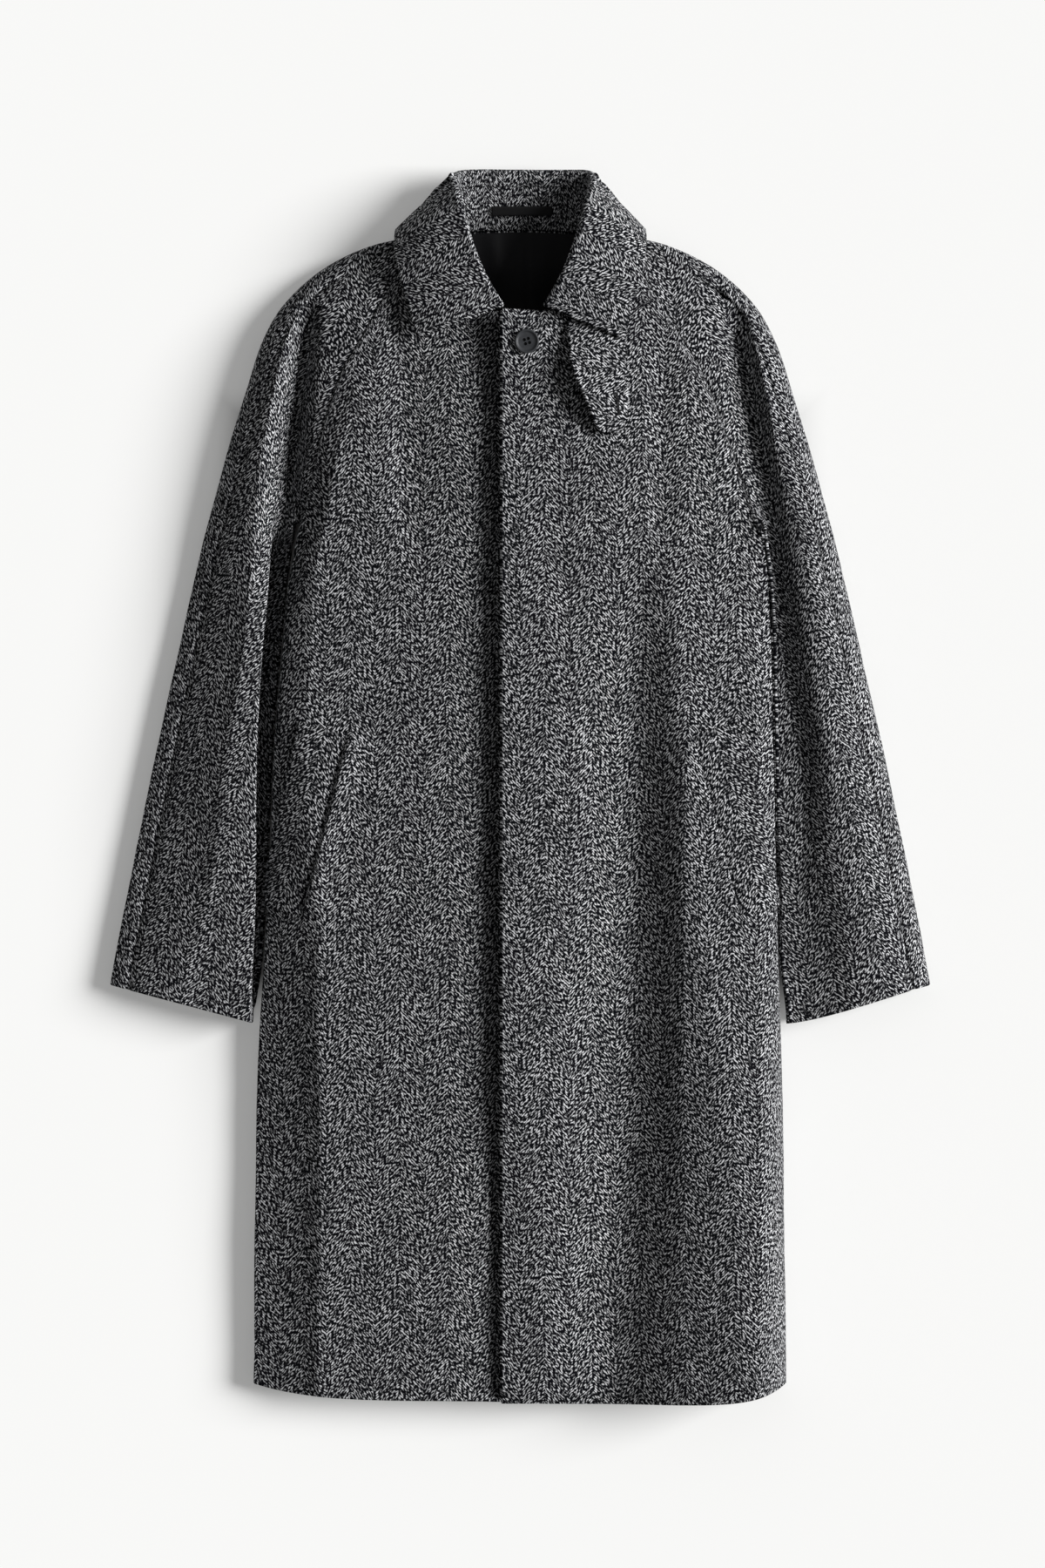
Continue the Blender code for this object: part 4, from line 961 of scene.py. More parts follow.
def sleeve_under(plan, station, side):
    """Height of the sleeve's under side, which lifts beside the underarm."""
    edge = np.where(station > UNDERARM_STATION, arm_edge(plan[:, 1], side), body_edge(plan[:, 1], side))
    rim = edge_rim(plan[:, 1], side)
    return under_skin(plan[:, 0] - edge, plan[:, 1], UNDER_ROLL, rim)


def collar_station(t, side):
    """Neck, fold and edge points of the collar at a station."""
    value = read_station(COLLAR_ROWS, t)
    lift = COLLAR_LIFT[side] * between(t, *COLLAR_LIFT_STATIONS)
    neck = np.array([side * value["neck_x"] + COLLAR_SHIFT, value["neck_y"], value["neck_z"] + lift])
    fold = np.array([side * value["fold_x"] + COLLAR_SHIFT, value["fold_y"], value["fold_z"] + lift])
    edge = np.array([side * value["edge_x"], value["edge_y"], value["edge_z"] + lift])
    return neck, fold, edge


def collar_seam(neck, fold):
    """Point where the leaf, turned in over the fold, meets the collar band."""
    length = np.linalg.norm(fold - neck)
    return fold + (neck - fold) / length * min(FALL_TURN_IN, FALL_TURN_SHARE * length)


def collar_walk():
    """Stations of the collar from its left front to its right front, crowded at both ends."""
    half = np.linspace(COLLAR_FRONT, 0, COLLAR_FRONT * COLLAR_STEPS + 1)
    half = np.concatenate([half[:1], COLLAR_FRONT - np.array(COLLAR_END_STEPS), half[1:]])
    return [(t, LEFT) for t in half] + [(t, RIGHT) for t in half[-2::-1]]


def fall_line(t, side, neck, fold, edge, run):
    """One line of the leaf: from the band seam, over the rolled fold, to the outer edge."""
    seam = collar_seam(neck, fold)
    inward = (fold - neck) / np.linalg.norm(fold - neck)
    leaf = np.cross(inward, run)
    leaf = leaf / np.linalg.norm(leaf)
    centre = fold + (leaf - inward) * COLLAR_ROLL
    below_roll = centre - leaf * COLLAR_ROLL
    line = [seam + (below_roll - seam) * share for share in FALL_START_STEPS]
    for turn in np.radians(np.arange(-90, 91, FALL_TURN_STEP)):
        line.append(centre + (inward * math.cos(turn) + leaf * math.sin(turn)) * COLLAR_ROLL)
    start = line[-1]
    sag = BACK_SAG + (LEAF_SAG[side] - BACK_SAG) * between(t, *SAG_STATIONS)
    for share in close_steps(FALL_COLUMNS, FALL_WIDTH)[FALL_SKIPPED:]:
        point = start + (edge - start) * share + leaf * sag * math.sin(math.pi * share)
        point[2] = max(point[2], FLOOR_GAP)
        line.append(point)
    return line


def collar_grids():
    """Grids of the leaf and of the band, with their cloth coordinates."""
    walk = collar_walk()
    necks, folds, edges = (np.array(line) for line in zip(*[collar_station(t, side) for t, side in walk]))
    runs = np.gradient(folds, axis=0)
    leaf = np.array([fall_line(*walk[i], necks[i], folds[i], edges[i], runs[i]) for i in range(len(walk))])
    seams = np.array([collar_seam(neck, fold) for neck, fold in zip(necks, folds)])
    band = np.stack([necks + (seams - necks) * s for s in np.linspace(0, 1, BAND_COLUMNS)], axis=1)
    middle = len(walk) // 2
    run = (walked(edges, 0) + walked(folds, 0)) / 2
    run = run - run[middle]
    return (leaf, cloth_across(leaf, run)), (band, cloth_across(band, run))


def cloth_across(grid, run):
    """Cloth coordinates of a strip: along its run, and the length walked across it."""
    return np.stack(np.broadcast_arrays(run[:, None], -walked(grid)), axis=-1)


def tab_rise(y, share, thickness):
    """Height of the tab's outer skin above the front, at shares from its left to its right edge."""
    return LAYER_GAP + thickness + read(TAB_ROWS, "lift", y) * (1 - share)


def tab_grid(thickness):
    """Grid of the throat tab, its left edge standing off the front."""
    low, high = TAB_ROWS[0].y, TAB_ROWS[-1].y
    y = low + (high - low) * close_steps(TAB_LINES, high - low)[:, None]
    left, right = read(TAB_ROWS, "left", y), read(TAB_ROWS, "right", y)
    share = close_steps(TAB_COLUMNS, TAB_WIDTH)
    x = left + (right - left) * share
    grid = front_skin(x, np.broadcast_to(y, x.shape), RIGHT)
    grid[..., 2] += tab_rise(y, share, thickness)
    return grid, np.stack([grid[..., 1], grid[..., 0]], axis=-1)


def welt_grid(side, thickness):
    """Grid of a slanted pocket welt, walked off on the front's skin and moved out."""
    shares = close_steps(WELT_LINES, WELT_LENGTH)
    reach = close_steps(WELT_COLUMNS, WELT_WIDTH) * WELT_WIDTH
    lines = []
    for share in shares:
        out = WELT_TOP[0] + (WELT_BOTTOM[0] - WELT_TOP[0]) * share
        y = WELT_TOP[1] + (WELT_BOTTOM[1] - WELT_TOP[1]) * share
        start = across_of(out, y, side, 0.0)
        walk = ring_point(np.linspace(start, WELT_LIMIT, WELT_STEPS), y, side, 0.0)
        lengths = walked(walk, 0)
        line = np.stack([np.interp(reach, lengths, walk[:, c]) for c in range(3)], axis=-1)
        line[:, 1] += WELT_SLANT * reach / WELT_WIDTH
        lines.append(line)
    grid = np.array(lines)
    sink = WELT_SINK * np.exp(-(reach / WELT_SINK_REACH) ** 2)
    grid = grid + skin_normals(grid, side) * (LAYER_GAP + thickness - sink)[:, None]
    v = -shares * math.dist(WELT_TOP, WELT_BOTTOM)
    return grid, np.stack(np.broadcast_arrays(reach, v[:, None]), axis=-1)


def lining_grid(cloth):
    """Grid of the lining, raised off the back's own points, with its centre pleat and wrinkles."""
    grids = {side: front_grid(side)[0][:, -1] for side in SIDES}
    skin = back_grid(grids)[0]
    rows = close_steps(BODY_LINES, 1.0) >= LINING_SHARE
    skin = skin[rows][:, LINING_COLUMNS:-LINING_COLUMNS]
    lift = skin_normals(skin, 1) * (cloth.wool + LINING_GAP + cloth.lining)
    over = skin - lift
    over[..., 1] -= LINING_MARGIN * ease((over[..., 1] - LINING_TOP_Y) / LINING_TOP_REACH)
    x, y = over[..., 0], over[..., 1]
    over[..., 2] += crease_height(x, y, LINING_CREASES)
    return over, over[..., :2].copy()


def loop_grid(thickness):
    """Grid of the hanger loop, which lies on the collar band at the centre back."""
    neck, fold = collar_station(0.0, LEFT)[:2]
    seam = collar_seam(neck, fold)
    share = close_steps(LOOP_LINES, LOOP_X[1] - LOOP_X[0])
    x = LOOP_X[0] + (LOOP_X[1] - LOOP_X[0]) * share
    band = LOOP_BAND[0] + (LOOP_BAND[1] - LOOP_BAND[0]) * np.linspace(0, 1, LOOP_COLUMNS)
    across = neck + (seam - neck) * band[:, None]
    bow = LOOP_BOW * np.sin(math.pi * share)
    z = across[:, 2] + LOOP_SEAT + thickness + bow[:, None]
    grid = np.stack(np.broadcast_arrays(x[:, None], across[:, 1], z), axis=-1)
    return grid, grid[..., :2].copy()


def skin_normals(skin, facing):
    """Unit normals of a grid of skin points, turned to the outer side."""
    normals = np.cross(np.gradient(skin, axis=0), np.gradient(skin, axis=1)) * facing
    return normals / np.maximum(np.linalg.norm(normals, axis=-1, keepdims=True), TINY)


def undulation(points):
    """Soft unevenness of the cloth at points, which dies out towards the floor."""
    flat = points.reshape(-1, 3)
    total = np.zeros(len(flat))
    for length, height in UNDULATION:
        total += [height * noise.noise(tuple(p)) for p in flat / length]
    return (total * ease(flat[:, 2] / UNDULATION_FLOOR)).reshape(points.shape[:-1])


def border_distance(skin, border):
    """Length walked over a grid from one of its borders."""
    axis = 0 if border.endswith("row") else 1
    length = walked(skin, axis)
    return length if border.startswith("first") else np.take(length, [-1], axis=axis) - length


def wrinkled(skin, facing, seams):
    """A skin with the cloth's unevenness, drawn in along its sewn borders."""
    offset = undulation(skin)
    for border in seams:
        offset = offset - SEAM_DIP * np.exp(-border_distance(skin, border) / SEAM_WIDTH)
    moved = skin + skin_normals(skin, facing) * offset[..., None]
    moved[..., 2] = np.maximum(moved[..., 2], 0.0)
    return moved


def rim_walk(rows, columns):
    """Row, column and inward step of each point round a grid's border."""
    walk = [(0, j, 1, 0) for j in range(columns)]
    walk += [(i, columns - 1, 0, -1) for i in range(1, rows)]
    walk += [(rows - 1, j, -1, 0) for j in range(columns - 2, -1, -1)]
    walk += [(i, 0, 0, 1) for i in range(rows - 2, 0, -1)]
    return np.array(walk).T


def shell(name, grid, thickness, facing, finish, seams=()):
    """A closed sheet of cloth from a grid of outer points, with rounded edges where it isn't sewn."""
    skin, cloth = grid
    skin = wrinkled(skin, facing, seams)
    rows, columns = skin.shape[:2]
    wall = np.broadcast_to(thickness, (rows, columns))
    inner = skin - skin_normals(skin, facing) * wall[..., None]
    i, j, step_i, step_j = rim_walk(rows, columns)
    outward = skin[i, j] - skin[i + step_i, j + step_j]
    outward = outward / np.maximum(np.linalg.norm(outward, axis=-1, keepdims=True), TINY)
    sewn = np.zeros(len(i), dtype=bool)
    for border in seams:
        at, count = (i, rows) if border.endswith("row") else (j, columns)
        sewn |= at == (0 if border.startswith("first") else count - 1)
    bulge = wall[i, j] * np.where(sewn, 0.0, FREE_EDGE_ROUND)
    middle = (skin[i, j] + inner[i, j]) / 2 + outward * bulge[:, None]
    points = np.concatenate([skin.reshape(-1, 3), inner.reshape(-1, 3), middle])
    places = np.concatenate([cloth.reshape(-1, 2), cloth.reshape(-1, 2), cloth[i, j]])
    layer = rows * columns
    index = np.arange(layer).reshape(rows, columns)
    quads = np.stack([index[:-1, :-1], index[:-1, 1:], index[1:, 1:], index[1:, :-1]], axis=-1)
    quads = quads.reshape(-1, 4)
    outer_rim = index[i, j]
    mid_rim = 2 * layer + np.arange(len(i))
    rims = [rim_band(mid_rim, outer_rim), rim_band(outer_rim + layer, mid_rim)]
    faces = np.concatenate([quads, quads[:, ::-1] + layer, *rims])
    return add_sheet(name, points, faces, finish, places)


def rim_band(low, high):
    """Faces between two closed rows of points."""
    return np.stack([low, np.roll(low, -1), np.roll(high, -1), high], axis=-1)


def new_piece(name, points, faces, edges=()):
    """An object with a new mesh, in the scene."""
    mesh = bpy.data.meshes.new(name)
    mesh.from_pydata(points, edges, faces)
    piece = bpy.data.objects.new(name, mesh)
    bpy.context.scene.collection.objects.link(piece)
    return piece


def add_sheet(name, points, faces, finish, places):
    """One closed sheet with its faces pointing out, smooth, with its cloth coordinates."""
    corners = points[faces[:, [0, 1, 2]]], points[faces[:, [0, 2, 3]]]
    volume = sum(np.einsum("ij,ij->i", c[:, 0], np.cross(c[:, 1], c[:, 2])).sum() for c in corners)
    if volume < 0:
        faces = faces[:, ::-1]
    piece = new_piece(name, points.tolist(), faces.tolist())
    mesh = piece.data
    layer = mesh.uv_layers.new(name=CLOTH_MAP)
    layer.uv.foreach_set("vector", places[faces.ravel()].astype(np.float32).ravel())
    mesh.materials.append(finish)
    mesh.shade_smooth()
    mesh.validate()
    return piece


def attach(piece, node):
    """Let a piece ride on the coat's body and stand for its solid."""
    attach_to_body(piece, BODY)
    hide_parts(node)


def lay_cloth(piece, node):
    """Attach a sheet of cloth."""
    attach(piece, node)


# Shader node groups and materials


def add_node(tree, kind, place, **values):
    """A node with its settings, and with values for its named or numbered inputs."""
    node = tree.nodes.new(kind)
    node.location = place
    inputs = values.pop("inputs", {})
    for key, value in values.items():
        setattr(node, key, value)
    for key, value in inputs.items():
        if isinstance(value, bpy.types.NodeSocket):
            tree.links.new(value, node.inputs[key])
        else:
            node.inputs[key].default_value = value
    return node


def calc(tree, place, operation, *values, clamp=False):
    """Output of a Math node fed with sockets or numbers."""
    node = add_node(tree, "ShaderNodeMath", place, operation=operation, use_clamp=clamp,
                    inputs=dict(enumerate(values)))
    return node.outputs[0]


def new_group(name, inputs, outputs):
    """An empty shader node group with its input and output nodes."""
    group = bpy.data.node_groups.new(name, "ShaderNodeTree")
    for label, kind, default in inputs:
        socket = group.interface.new_socket(name=label, in_out="INPUT", socket_type=kind)
        if default is not None:
            socket.default_value = default
    for label, kind in outputs:
        group.interface.new_socket(name=label, in_out="OUTPUT", socket_type=kind)
    start = group.nodes.new("NodeGroupInput")
    start.location = (-1400, 0)
    end = group.nodes.new("NodeGroupOutput")
    end.location = (1400, 0)
    return group, start, end


def herringbone_group():
    """Yarn brightness and height of a broken herringbone weave in cloth coordinates."""
    inputs = (
        ("Cloth", "NodeSocketVector", None),
        ("Column", "NodeSocketFloat", 0.0224),
        ("Rise", "NodeSocketFloat", 0.0026),
        ("Run", "NodeSocketFloat", 0.0028),
        ("Dash", "NodeSocketFloat", 0.0023),
    )
    outputs = (("Yarn", "NodeSocketFloat"), ("Height", "NodeSocketFloat"))
    tree, start, end = new_group("herringbone", inputs, outputs)
    put = start.outputs
    wobble = speckle(tree, (-1200, -300), put["Cloth"], 380.0, 0.0)
    apart = add_node(tree, "ShaderNodeSeparateXYZ", (-1200, 0), inputs={0: put["Cloth"]})
    column = calc(tree, (-1000, 100), "DIVIDE", apart.outputs["X"], put["Column"])
    zigzag = calc(tree, (-800, 100), "PINGPONG", column, 1.0)
    lines_across = calc(tree, (-800, -60), "DIVIDE", put["Column"], put["Run"])
    slant = calc(tree, (-600, 60), "MULTIPLY", zigzag, lines_across)
    rise = calc(tree, (-800, -200), "DIVIDE", apart.outputs["Y"], put["Rise"])
    line = calc(tree, (-420, 0), "SUBTRACT", rise, slant)
    drift = calc(tree, (-1000, -300), "MULTIPLY_ADD", wobble, 0.5, -0.25)
    line = calc(tree, (-260, 0), "ADD", line, drift)
    within = calc(tree, (-100, 60), "FRACT", line)
    across = calc(tree, (60, 120), "PINGPONG", within, 0.5)
    shape = map_range(tree, (240, 320), across, 0.05, 0.27, 0.06, 1.0)
    dash = calc(tree, (-420, 300), "DIVIDE", apart.outputs["X"], put["Dash"])
    thin = calc(tree, (60, -60), "MULTIPLY", line, 1.3)
    cell = add_node(tree, "ShaderNodeCombineXYZ", (240, -60), inputs={0: dash, 1: thin})
    floats = speckle(tree, (560, -60), cell.outputs[0], 1.0, 0.0)
    strength = map_range(tree, (720, -60), floats, 0.48, 0.70, 0.0, 1.0)
    patch = speckle(tree, (560, -460), put["Cloth"], 150.0, 2.0, roughness=0.6)
    tone = map_range(tree, (720, -460), patch, 0.25, 0.75, 0.88, 1.12)
    flat = stretched(tree, (400, -700), put["Cloth"], (75.0, 620.0, 1.0))
    slub = speckle(tree, (560, -700), flat, 1.0, 0.0)
    streak = map_range(tree, (720, -700), slub, 0.28, 0.40, 0.55, 1.0)
    edge = calc(tree, (-420, 440), "PINGPONG", column, 0.5)
    valley = map_range(tree, (240, 480), edge, 0.0, 0.05, 0.65, 1.0)
    yarn = calc(tree, (1000, 160), "MULTIPLY", shape, strength)
    yarn = calc(tree, (1080, 100), "MULTIPLY", yarn, tone)
    yarn = calc(tree, (1160, 40), "MULTIPLY", yarn, streak)
    yarn = calc(tree, (1240, -20), "MULTIPLY", yarn, valley, clamp=True)
    tree.links.new(yarn, end.inputs["Yarn"])
    tree.links.new(shape, end.inputs["Height"])
    return tree


def speckle(tree, place, vector, scale, detail, dimensions="2D", roughness=0.5):
    """Output of a Noise node."""
    node = add_node(tree, "ShaderNodeTexNoise", place, noise_dimensions=dimensions,
                    inputs={"Vector": vector, "Scale": scale, "Detail": detail, "Roughness": roughness})
    return node.outputs[0]


def stretched(tree, place, vector, scale):
    """Output of a Mapping node that scales a vector."""
    return add_node(tree, "ShaderNodeMapping", place, inputs={0: vector, 3: scale}).outputs[0]


def map_range(tree, place, value, low, high, to_low, to_high):
    """Output of a smooth Map Range node."""
    node = add_node(tree, "ShaderNodeMapRange", place, interpolation_type="SMOOTHSTEP",
                    inputs={0: value, 1: low, 2: high, 3: to_low, 4: to_high})
    return node.outputs[0]


def mix_colour(tree, place, share, one, two):
    """Output of a colour Mix node fed with sockets or colours."""
    node = add_node(tree, "ShaderNodeMix", place, data_type="RGBA", inputs={0: share, 6: one, 7: two})
    return node.outputs[2]


def two_tone(tree, shader, mask, colour, low):
    """Colour a shader, by a mask, between a darker share of a colour and the colour."""
    dark = tuple(low * c for c in colour[:3]) + (1.0,)
    tree.links.new(mix_colour(tree, (-200, 100), mask, dark, colour), shader.inputs["Base Color"])


def bump(tree, shader, height, distance, strength):
    """Feed a height to the shader's normal."""
    node = add_node(tree, "ShaderNodeBump", (100, -400),
                    inputs={"Height": height, "Distance": distance, "Strength": strength})
    tree.links.new(node.outputs[0], shader.inputs["Normal"])


def cloth_place(tree):
    """Output with the cloth coordinates."""
    return add_node(tree, "ShaderNodeUVMap", (-1000, 0), uv_map=CLOTH_MAP).outputs[0]


def object_place(tree):
    """Output with the object coordinates."""
    return add_node(tree, "ShaderNodeTexCoord", (-900, 0)).outputs["Object"]


def wool_nodes(coat, tree, shader):
    """Napped herringbone wool in dark and light yarns."""
    cloth = cloth_place(tree)
    weave = add_node(tree, "ShaderNodeGroup", (-700, 0), node_tree=herringbone_group())
    tree.links.new(cloth, weave.inputs["Cloth"])
    for label in ("Column", "Rise", "Run", "Dash"):
        weave.inputs[label].default_value = getattr(coat.weave, label.lower())
    broad = speckle(tree, (-700, -300), cloth, 32.0, 2.0)
    fade = map_range(tree, (-500, -300), broad, 0.25, 0.75, 0.82, 1.16)
    share = calc(tree, (-300, 0), "MULTIPLY", weave.outputs["Yarn"], fade, clamp=True)
    colour = mix_colour(tree, (-100, 100), share, coat.colours.dark_yarn, coat.colours.light_yarn)
    tree.links.new(colour, shader.inputs["Base Color"])
    bump(tree, shader, weave.outputs["Height"], 0.0003, 0.35)


def satin_nodes(coat, tree, shader):
    """Black satin with a fine thread line."""
    fine = stretched(tree, (-700, 0), cloth_place(tree), (4200.0, 500.0, 1.0))
    thread = speckle(tree, (-500, 0), fine, 1.0, 1.0)
    two_tone(tree, shader, thread, coat.colours.lining, 0.55)
    bump(tree, shader, thread, 0.00006, 0.4)


def tape_nodes(coat, tree, shader):
    """Matte black tape with a fine cross rib."""
    apart = add_node(tree, "ShaderNodeSeparateXYZ", (-800, 0), inputs={0: cloth_place(tree)})
    along = calc(tree, (-600, 0), "DIVIDE", apart.outputs[0], TAPE_RIB)
    rib = calc(tree, (-400, 0), "PINGPONG", along, 0.5)
    two_tone(tree, shader, rib, coat.colours.tape, 0.5)
    bump(tree, shader, rib, 0.0002, 0.5)


def button_nodes(coat, tree, shader):
    """Matte dark moulded button with a faint mottle."""
    mottle = speckle(tree, (-600, 0), object_place(tree), 420.0, 3.0, "3D")
    two_tone(tree, shader, mottle, coat.colours.button, 0.8)
    rough = map_range(tree, (-200, -120), mottle, 0.3, 0.7, 0.42, 0.58)
    tree.links.new(rough, shader.inputs["Roughness"])
    bump(tree, shader, mottle, 0.00005, 0.3)


def thread_nodes(coat, tree, shader):
    """Dark sewing thread with its twist."""
    twist = speckle(tree, (-600, 0), object_place(tree), 1800.0, 1.0, "3D")
    two_tone(tree, shader, twist, coat.colours.thread, 0.5)


# Materials: what colours them, roughness and specular level
FINISHES = {
    "herringbone_wool": (wool_nodes, 0.95, 0.04),
    "black_satin": (satin_nodes, 0.55, 0.22),
    "ribbed_tape": (tape_nodes, 0.72, 0.25),
    "matte_button": (button_nodes, 0.5, 0.4),
    "sewing_thread": (thread_nodes, 0.7, 0.3),
}


def plain_material(name, roughness, specular):
    """A new material with a Principled shader, which is returned with it."""
    made = bpy.data.materials.new(name)
    made.use_nodes = True
    shader = made.node_tree.nodes["Principled BSDF"]
    shader.inputs["Roughness"].default_value = roughness
    shader.inputs["Specular IOR Level"].default_value = specular
    return made, shader


def finish_of(coat, name):
    """A material of the coat, made on its first use."""
    if name not in bpy.data.materials:
        colour, roughness, specular = FINISHES[name]
        made, shader = plain_material(name, roughness, specular)
        colour(coat, made.node_tree, shader)
    return bpy.data.materials[name]


# Button, stitches and stage


def turned(spot, profile, sides):
    """Points and faces of a closed piece turned round an upright axis, from its radii and heights."""
    angle = np.arange(sides) * 2 * math.pi / sides
    points = [(*spot, profile[0][1])]
    for radius, level in profile[1:-1]:
        points += [(spot[0] + radius * math.cos(a), spot[1] + radius * math.sin(a), level) for a in angle]
    points.append((*spot, profile[-1][1]))
    top = 1 + (len(profile) - 3) * sides
    faces = []
    for k in range(sides):
        after = (k + 1) % sides
        faces.append((0, 1 + after, 1 + k))
        for low in range(1, top, sides):
            faces.append((low + k, low + after, low + sides + after, low + sides + k))
        faces.append((len(points) - 1, top + k, top + after))
    return points, faces


def upright_bar(spot, radius, low, high, sides):
    """Points and faces of a closed upright bar."""
    return turned(spot, ((0.0, low), (radius, low), (radius, high), (0.0, high)), sides)


def make_button(coat):
    """Turned button with a raised rim, a shallow well and four thread holes, and its thread."""
    seat = front_skin(BUTTON_X, BUTTON_Y, RIGHT)
    radius, height = coat.sewing.button_radius, coat.sewing.button_height
    base = seat[2] + LAYER_GAP
    profile = [(radius * share, base + height * level) for share, level in BUTTON_PROFILE]
    piece = new_piece("button_neck", *turned(seat[:2], profile, BUTTON_SIDES))
    spread, hole = radius * HOLE_SPREAD, radius * HOLE_RADIUS
    turns = [HOLE_TURN + k * 2 * math.pi / HOLE_COUNT for k in range(HOLE_COUNT)]
    spots = [(seat[0] + spread * math.cos(turn), seat[1] + spread * math.sin(turn)) for turn in turns]
    cut_holes(piece, spots, hole, base, height)
    piece.data.materials.append(finish_of(coat, "matte_button"))
    piece.data.shade_smooth()
    piece.data.set_sharp_from_angle(angle=BUTTON_SHARP)
    attach(piece, "neck_button")
    thread = thread_posts(spots, hole * THREAD_FILL, base, base + height * THREAD_HEIGHT)
    thread.data.materials.append(finish_of(coat, "sewing_thread"))
    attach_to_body(thread, BODY)


def keep_result(piece):
    """Turn a piece's live modifiers into a plain mesh."""
    made = bpy.data.meshes.new_from_object(piece.evaluated_get(bpy.context.evaluated_depsgraph_get()))
    piece.modifiers.clear()
    piece.data = made


def cut_holes(piece, spots, hole, base, height):
    """Cut round thread holes through the button and keep the result as a plain mesh."""
    cutters = []
    for spot in spots:
        bar = upright_bar(spot, hole, base - height, base + 2 * height, HOLE_SIDES)
        cutters.append(new_piece("hole_cutter", *bar))
        cut = piece.modifiers.new("thread_hole", "BOOLEAN")
        cut.operation = "DIFFERENCE"
        cut.object = cutters[-1]
    keep_result(piece)
    for cutter in cutters:
        bpy.data.objects.remove(cutter, do_unlink=True)


def thread_posts(spots, radius, low, high):
    """Thread that fills the button's holes, as one piece."""
    points, faces = [], []
    for spot in spots:
        more, sides = upright_bar(spot, radius, low, high, THREAD_SIDES)
        faces += [tuple(len(points) + k for k in face) for face in sides]
        points += more
    return new_piece("thread_neck_button", points, faces)


def stitch_tree():
    """Node tree that sews stitches along the edges of a mesh."""
    name = "stitch_row"
    if name in bpy.data.node_groups:
        return bpy.data.node_groups[name]
    tree = bpy.data.node_groups.new(name, "GeometryNodeTree")
    tree.interface.new_socket(name="Geometry", in_out="INPUT", socket_type="NodeSocketGeometry")
    for label in ("Stitch", "Pitch", "Thread"):
        tree.interface.new_socket(name=label, in_out="INPUT", socket_type="NodeSocketFloat")
    tree.interface.new_socket(name="Material", in_out="INPUT", socket_type="NodeSocketMaterial")
    tree.interface.new_socket(name="Geometry", in_out="OUTPUT", socket_type="NodeSocketGeometry")
    start = add_node(tree, "NodeGroupInput", (-900, 0))
    end = add_node(tree, "NodeGroupOutput", (900, 0))
    curve = add_node(tree, "GeometryNodeMeshToCurve", (-700, 100), inputs={0: start.outputs["Geometry"]})
    row = add_node(tree, "GeometryNodeResampleCurve", (-500, 100), mode="LENGTH",
                   inputs={"Curve": curve.outputs[0], "Length": start.outputs["Pitch"]})
    bead = add_node(tree, "GeometryNodeMeshUVSphere", (-700, -200),
                    inputs={"Segments": 8, "Rings": 6, "Radius": 0.5})
    tangent = add_node(tree, "GeometryNodeInputTangent", (-700, -420))
    turn = add_node(tree, "FunctionNodeAlignRotationToVector", (-500, -420), axis="Z",
                    inputs={"Vector": tangent.outputs[0]})
    wide = add_node(tree, "FunctionNodeRandomValue", (-500, -640), data_type="FLOAT",
                    inputs={2: STITCH_VARIES[0], 3: STITCH_VARIES[1], "Seed": STITCH_SEED})
    long = add_node(tree, "ShaderNodeMath", (-300, -640), operation="MULTIPLY",
                    inputs={0: start.outputs["Stitch"], 1: wide.outputs[1]})
    size = add_node(tree, "ShaderNodeCombineXYZ", (-300, -200),
                    inputs={0: start.outputs["Thread"], 1: start.outputs["Thread"], 2: long.outputs[0]})
    sewn = add_node(tree, "GeometryNodeInstanceOnPoints", (0, 100),
                    inputs={"Points": row.outputs[0], "Instance": bead.outputs[0],
                            "Rotation": turn.outputs[0], "Scale": size.outputs[0]})
    real = add_node(tree, "GeometryNodeRealizeInstances", (250, 100), inputs={0: sewn.outputs[0]})
    done = add_node(tree, "GeometryNodeSetMaterial", (500, 100),
                    inputs={0: real.outputs[0], "Material": start.outputs["Material"]})
    tree.links.new(done.outputs[0], end.inputs[0])
    return tree


def sew(name, paths, stitch, pitch, thread, finish):
    """Sew stitches along polylines and keep them as a plain mesh that rides on the coat."""
    points, edges = [], []
    for path in paths:
        first = len(points)
        points += [tuple(p) for p in path]
        edges += [(first + k, first + k + 1) for k in range(len(path) - 1)]
    piece = new_piece(name, points, [], edges)
    tree = stitch_tree()
    sewing = piece.modifiers.new("stitches", "NODES")
    sewing.node_group = tree
    values = {"Stitch": stitch, "Pitch": pitch, "Thread": thread, "Material": finish}
    for item in tree.interface.items_tree:
        if item.in_out == "INPUT" and item.name in values:
            sewing[item.identifier] = values[item.name]
    piece.update_tag()
    keep_result(piece)
    if not piece.data.polygons:
        raise RuntimeError(name + " has no stitches")
    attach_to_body(piece, BODY)


def fly_path():
    """Stitch line on the right front along the fly."""
    y = np.linspace(*FLY_STITCH_Y, STITCH_POINTS)
    path = front_skin(np.full(len(y), FLY_STITCH_X), y, RIGHT)
    path[:, 2] += FLY_STITCH_LIFT + undulation(path)
    return path


def make_stitches(coat):
    """Rows of stitches: along the fly, round the tab's buttonhole and on the hanger loop."""
    sewing = coat.sewing
    finish = finish_of(coat, "sewing_thread")
    rows = (
        ("stitches_fly", [fly_path()], (sewing.stitch, sewing.pitch, 1.0)),
        ("stitches_buttonhole", buttonhole_paths(coat), BUTTONHOLE_ROW),
        ("stitches_hanger_loop", loop_paths(coat), LOOP_TACK_ROW),
    )
    for name, paths, (stitch, pitch, share) in rows:
        sew(name, paths, stitch, pitch, sewing.thread * share, finish)


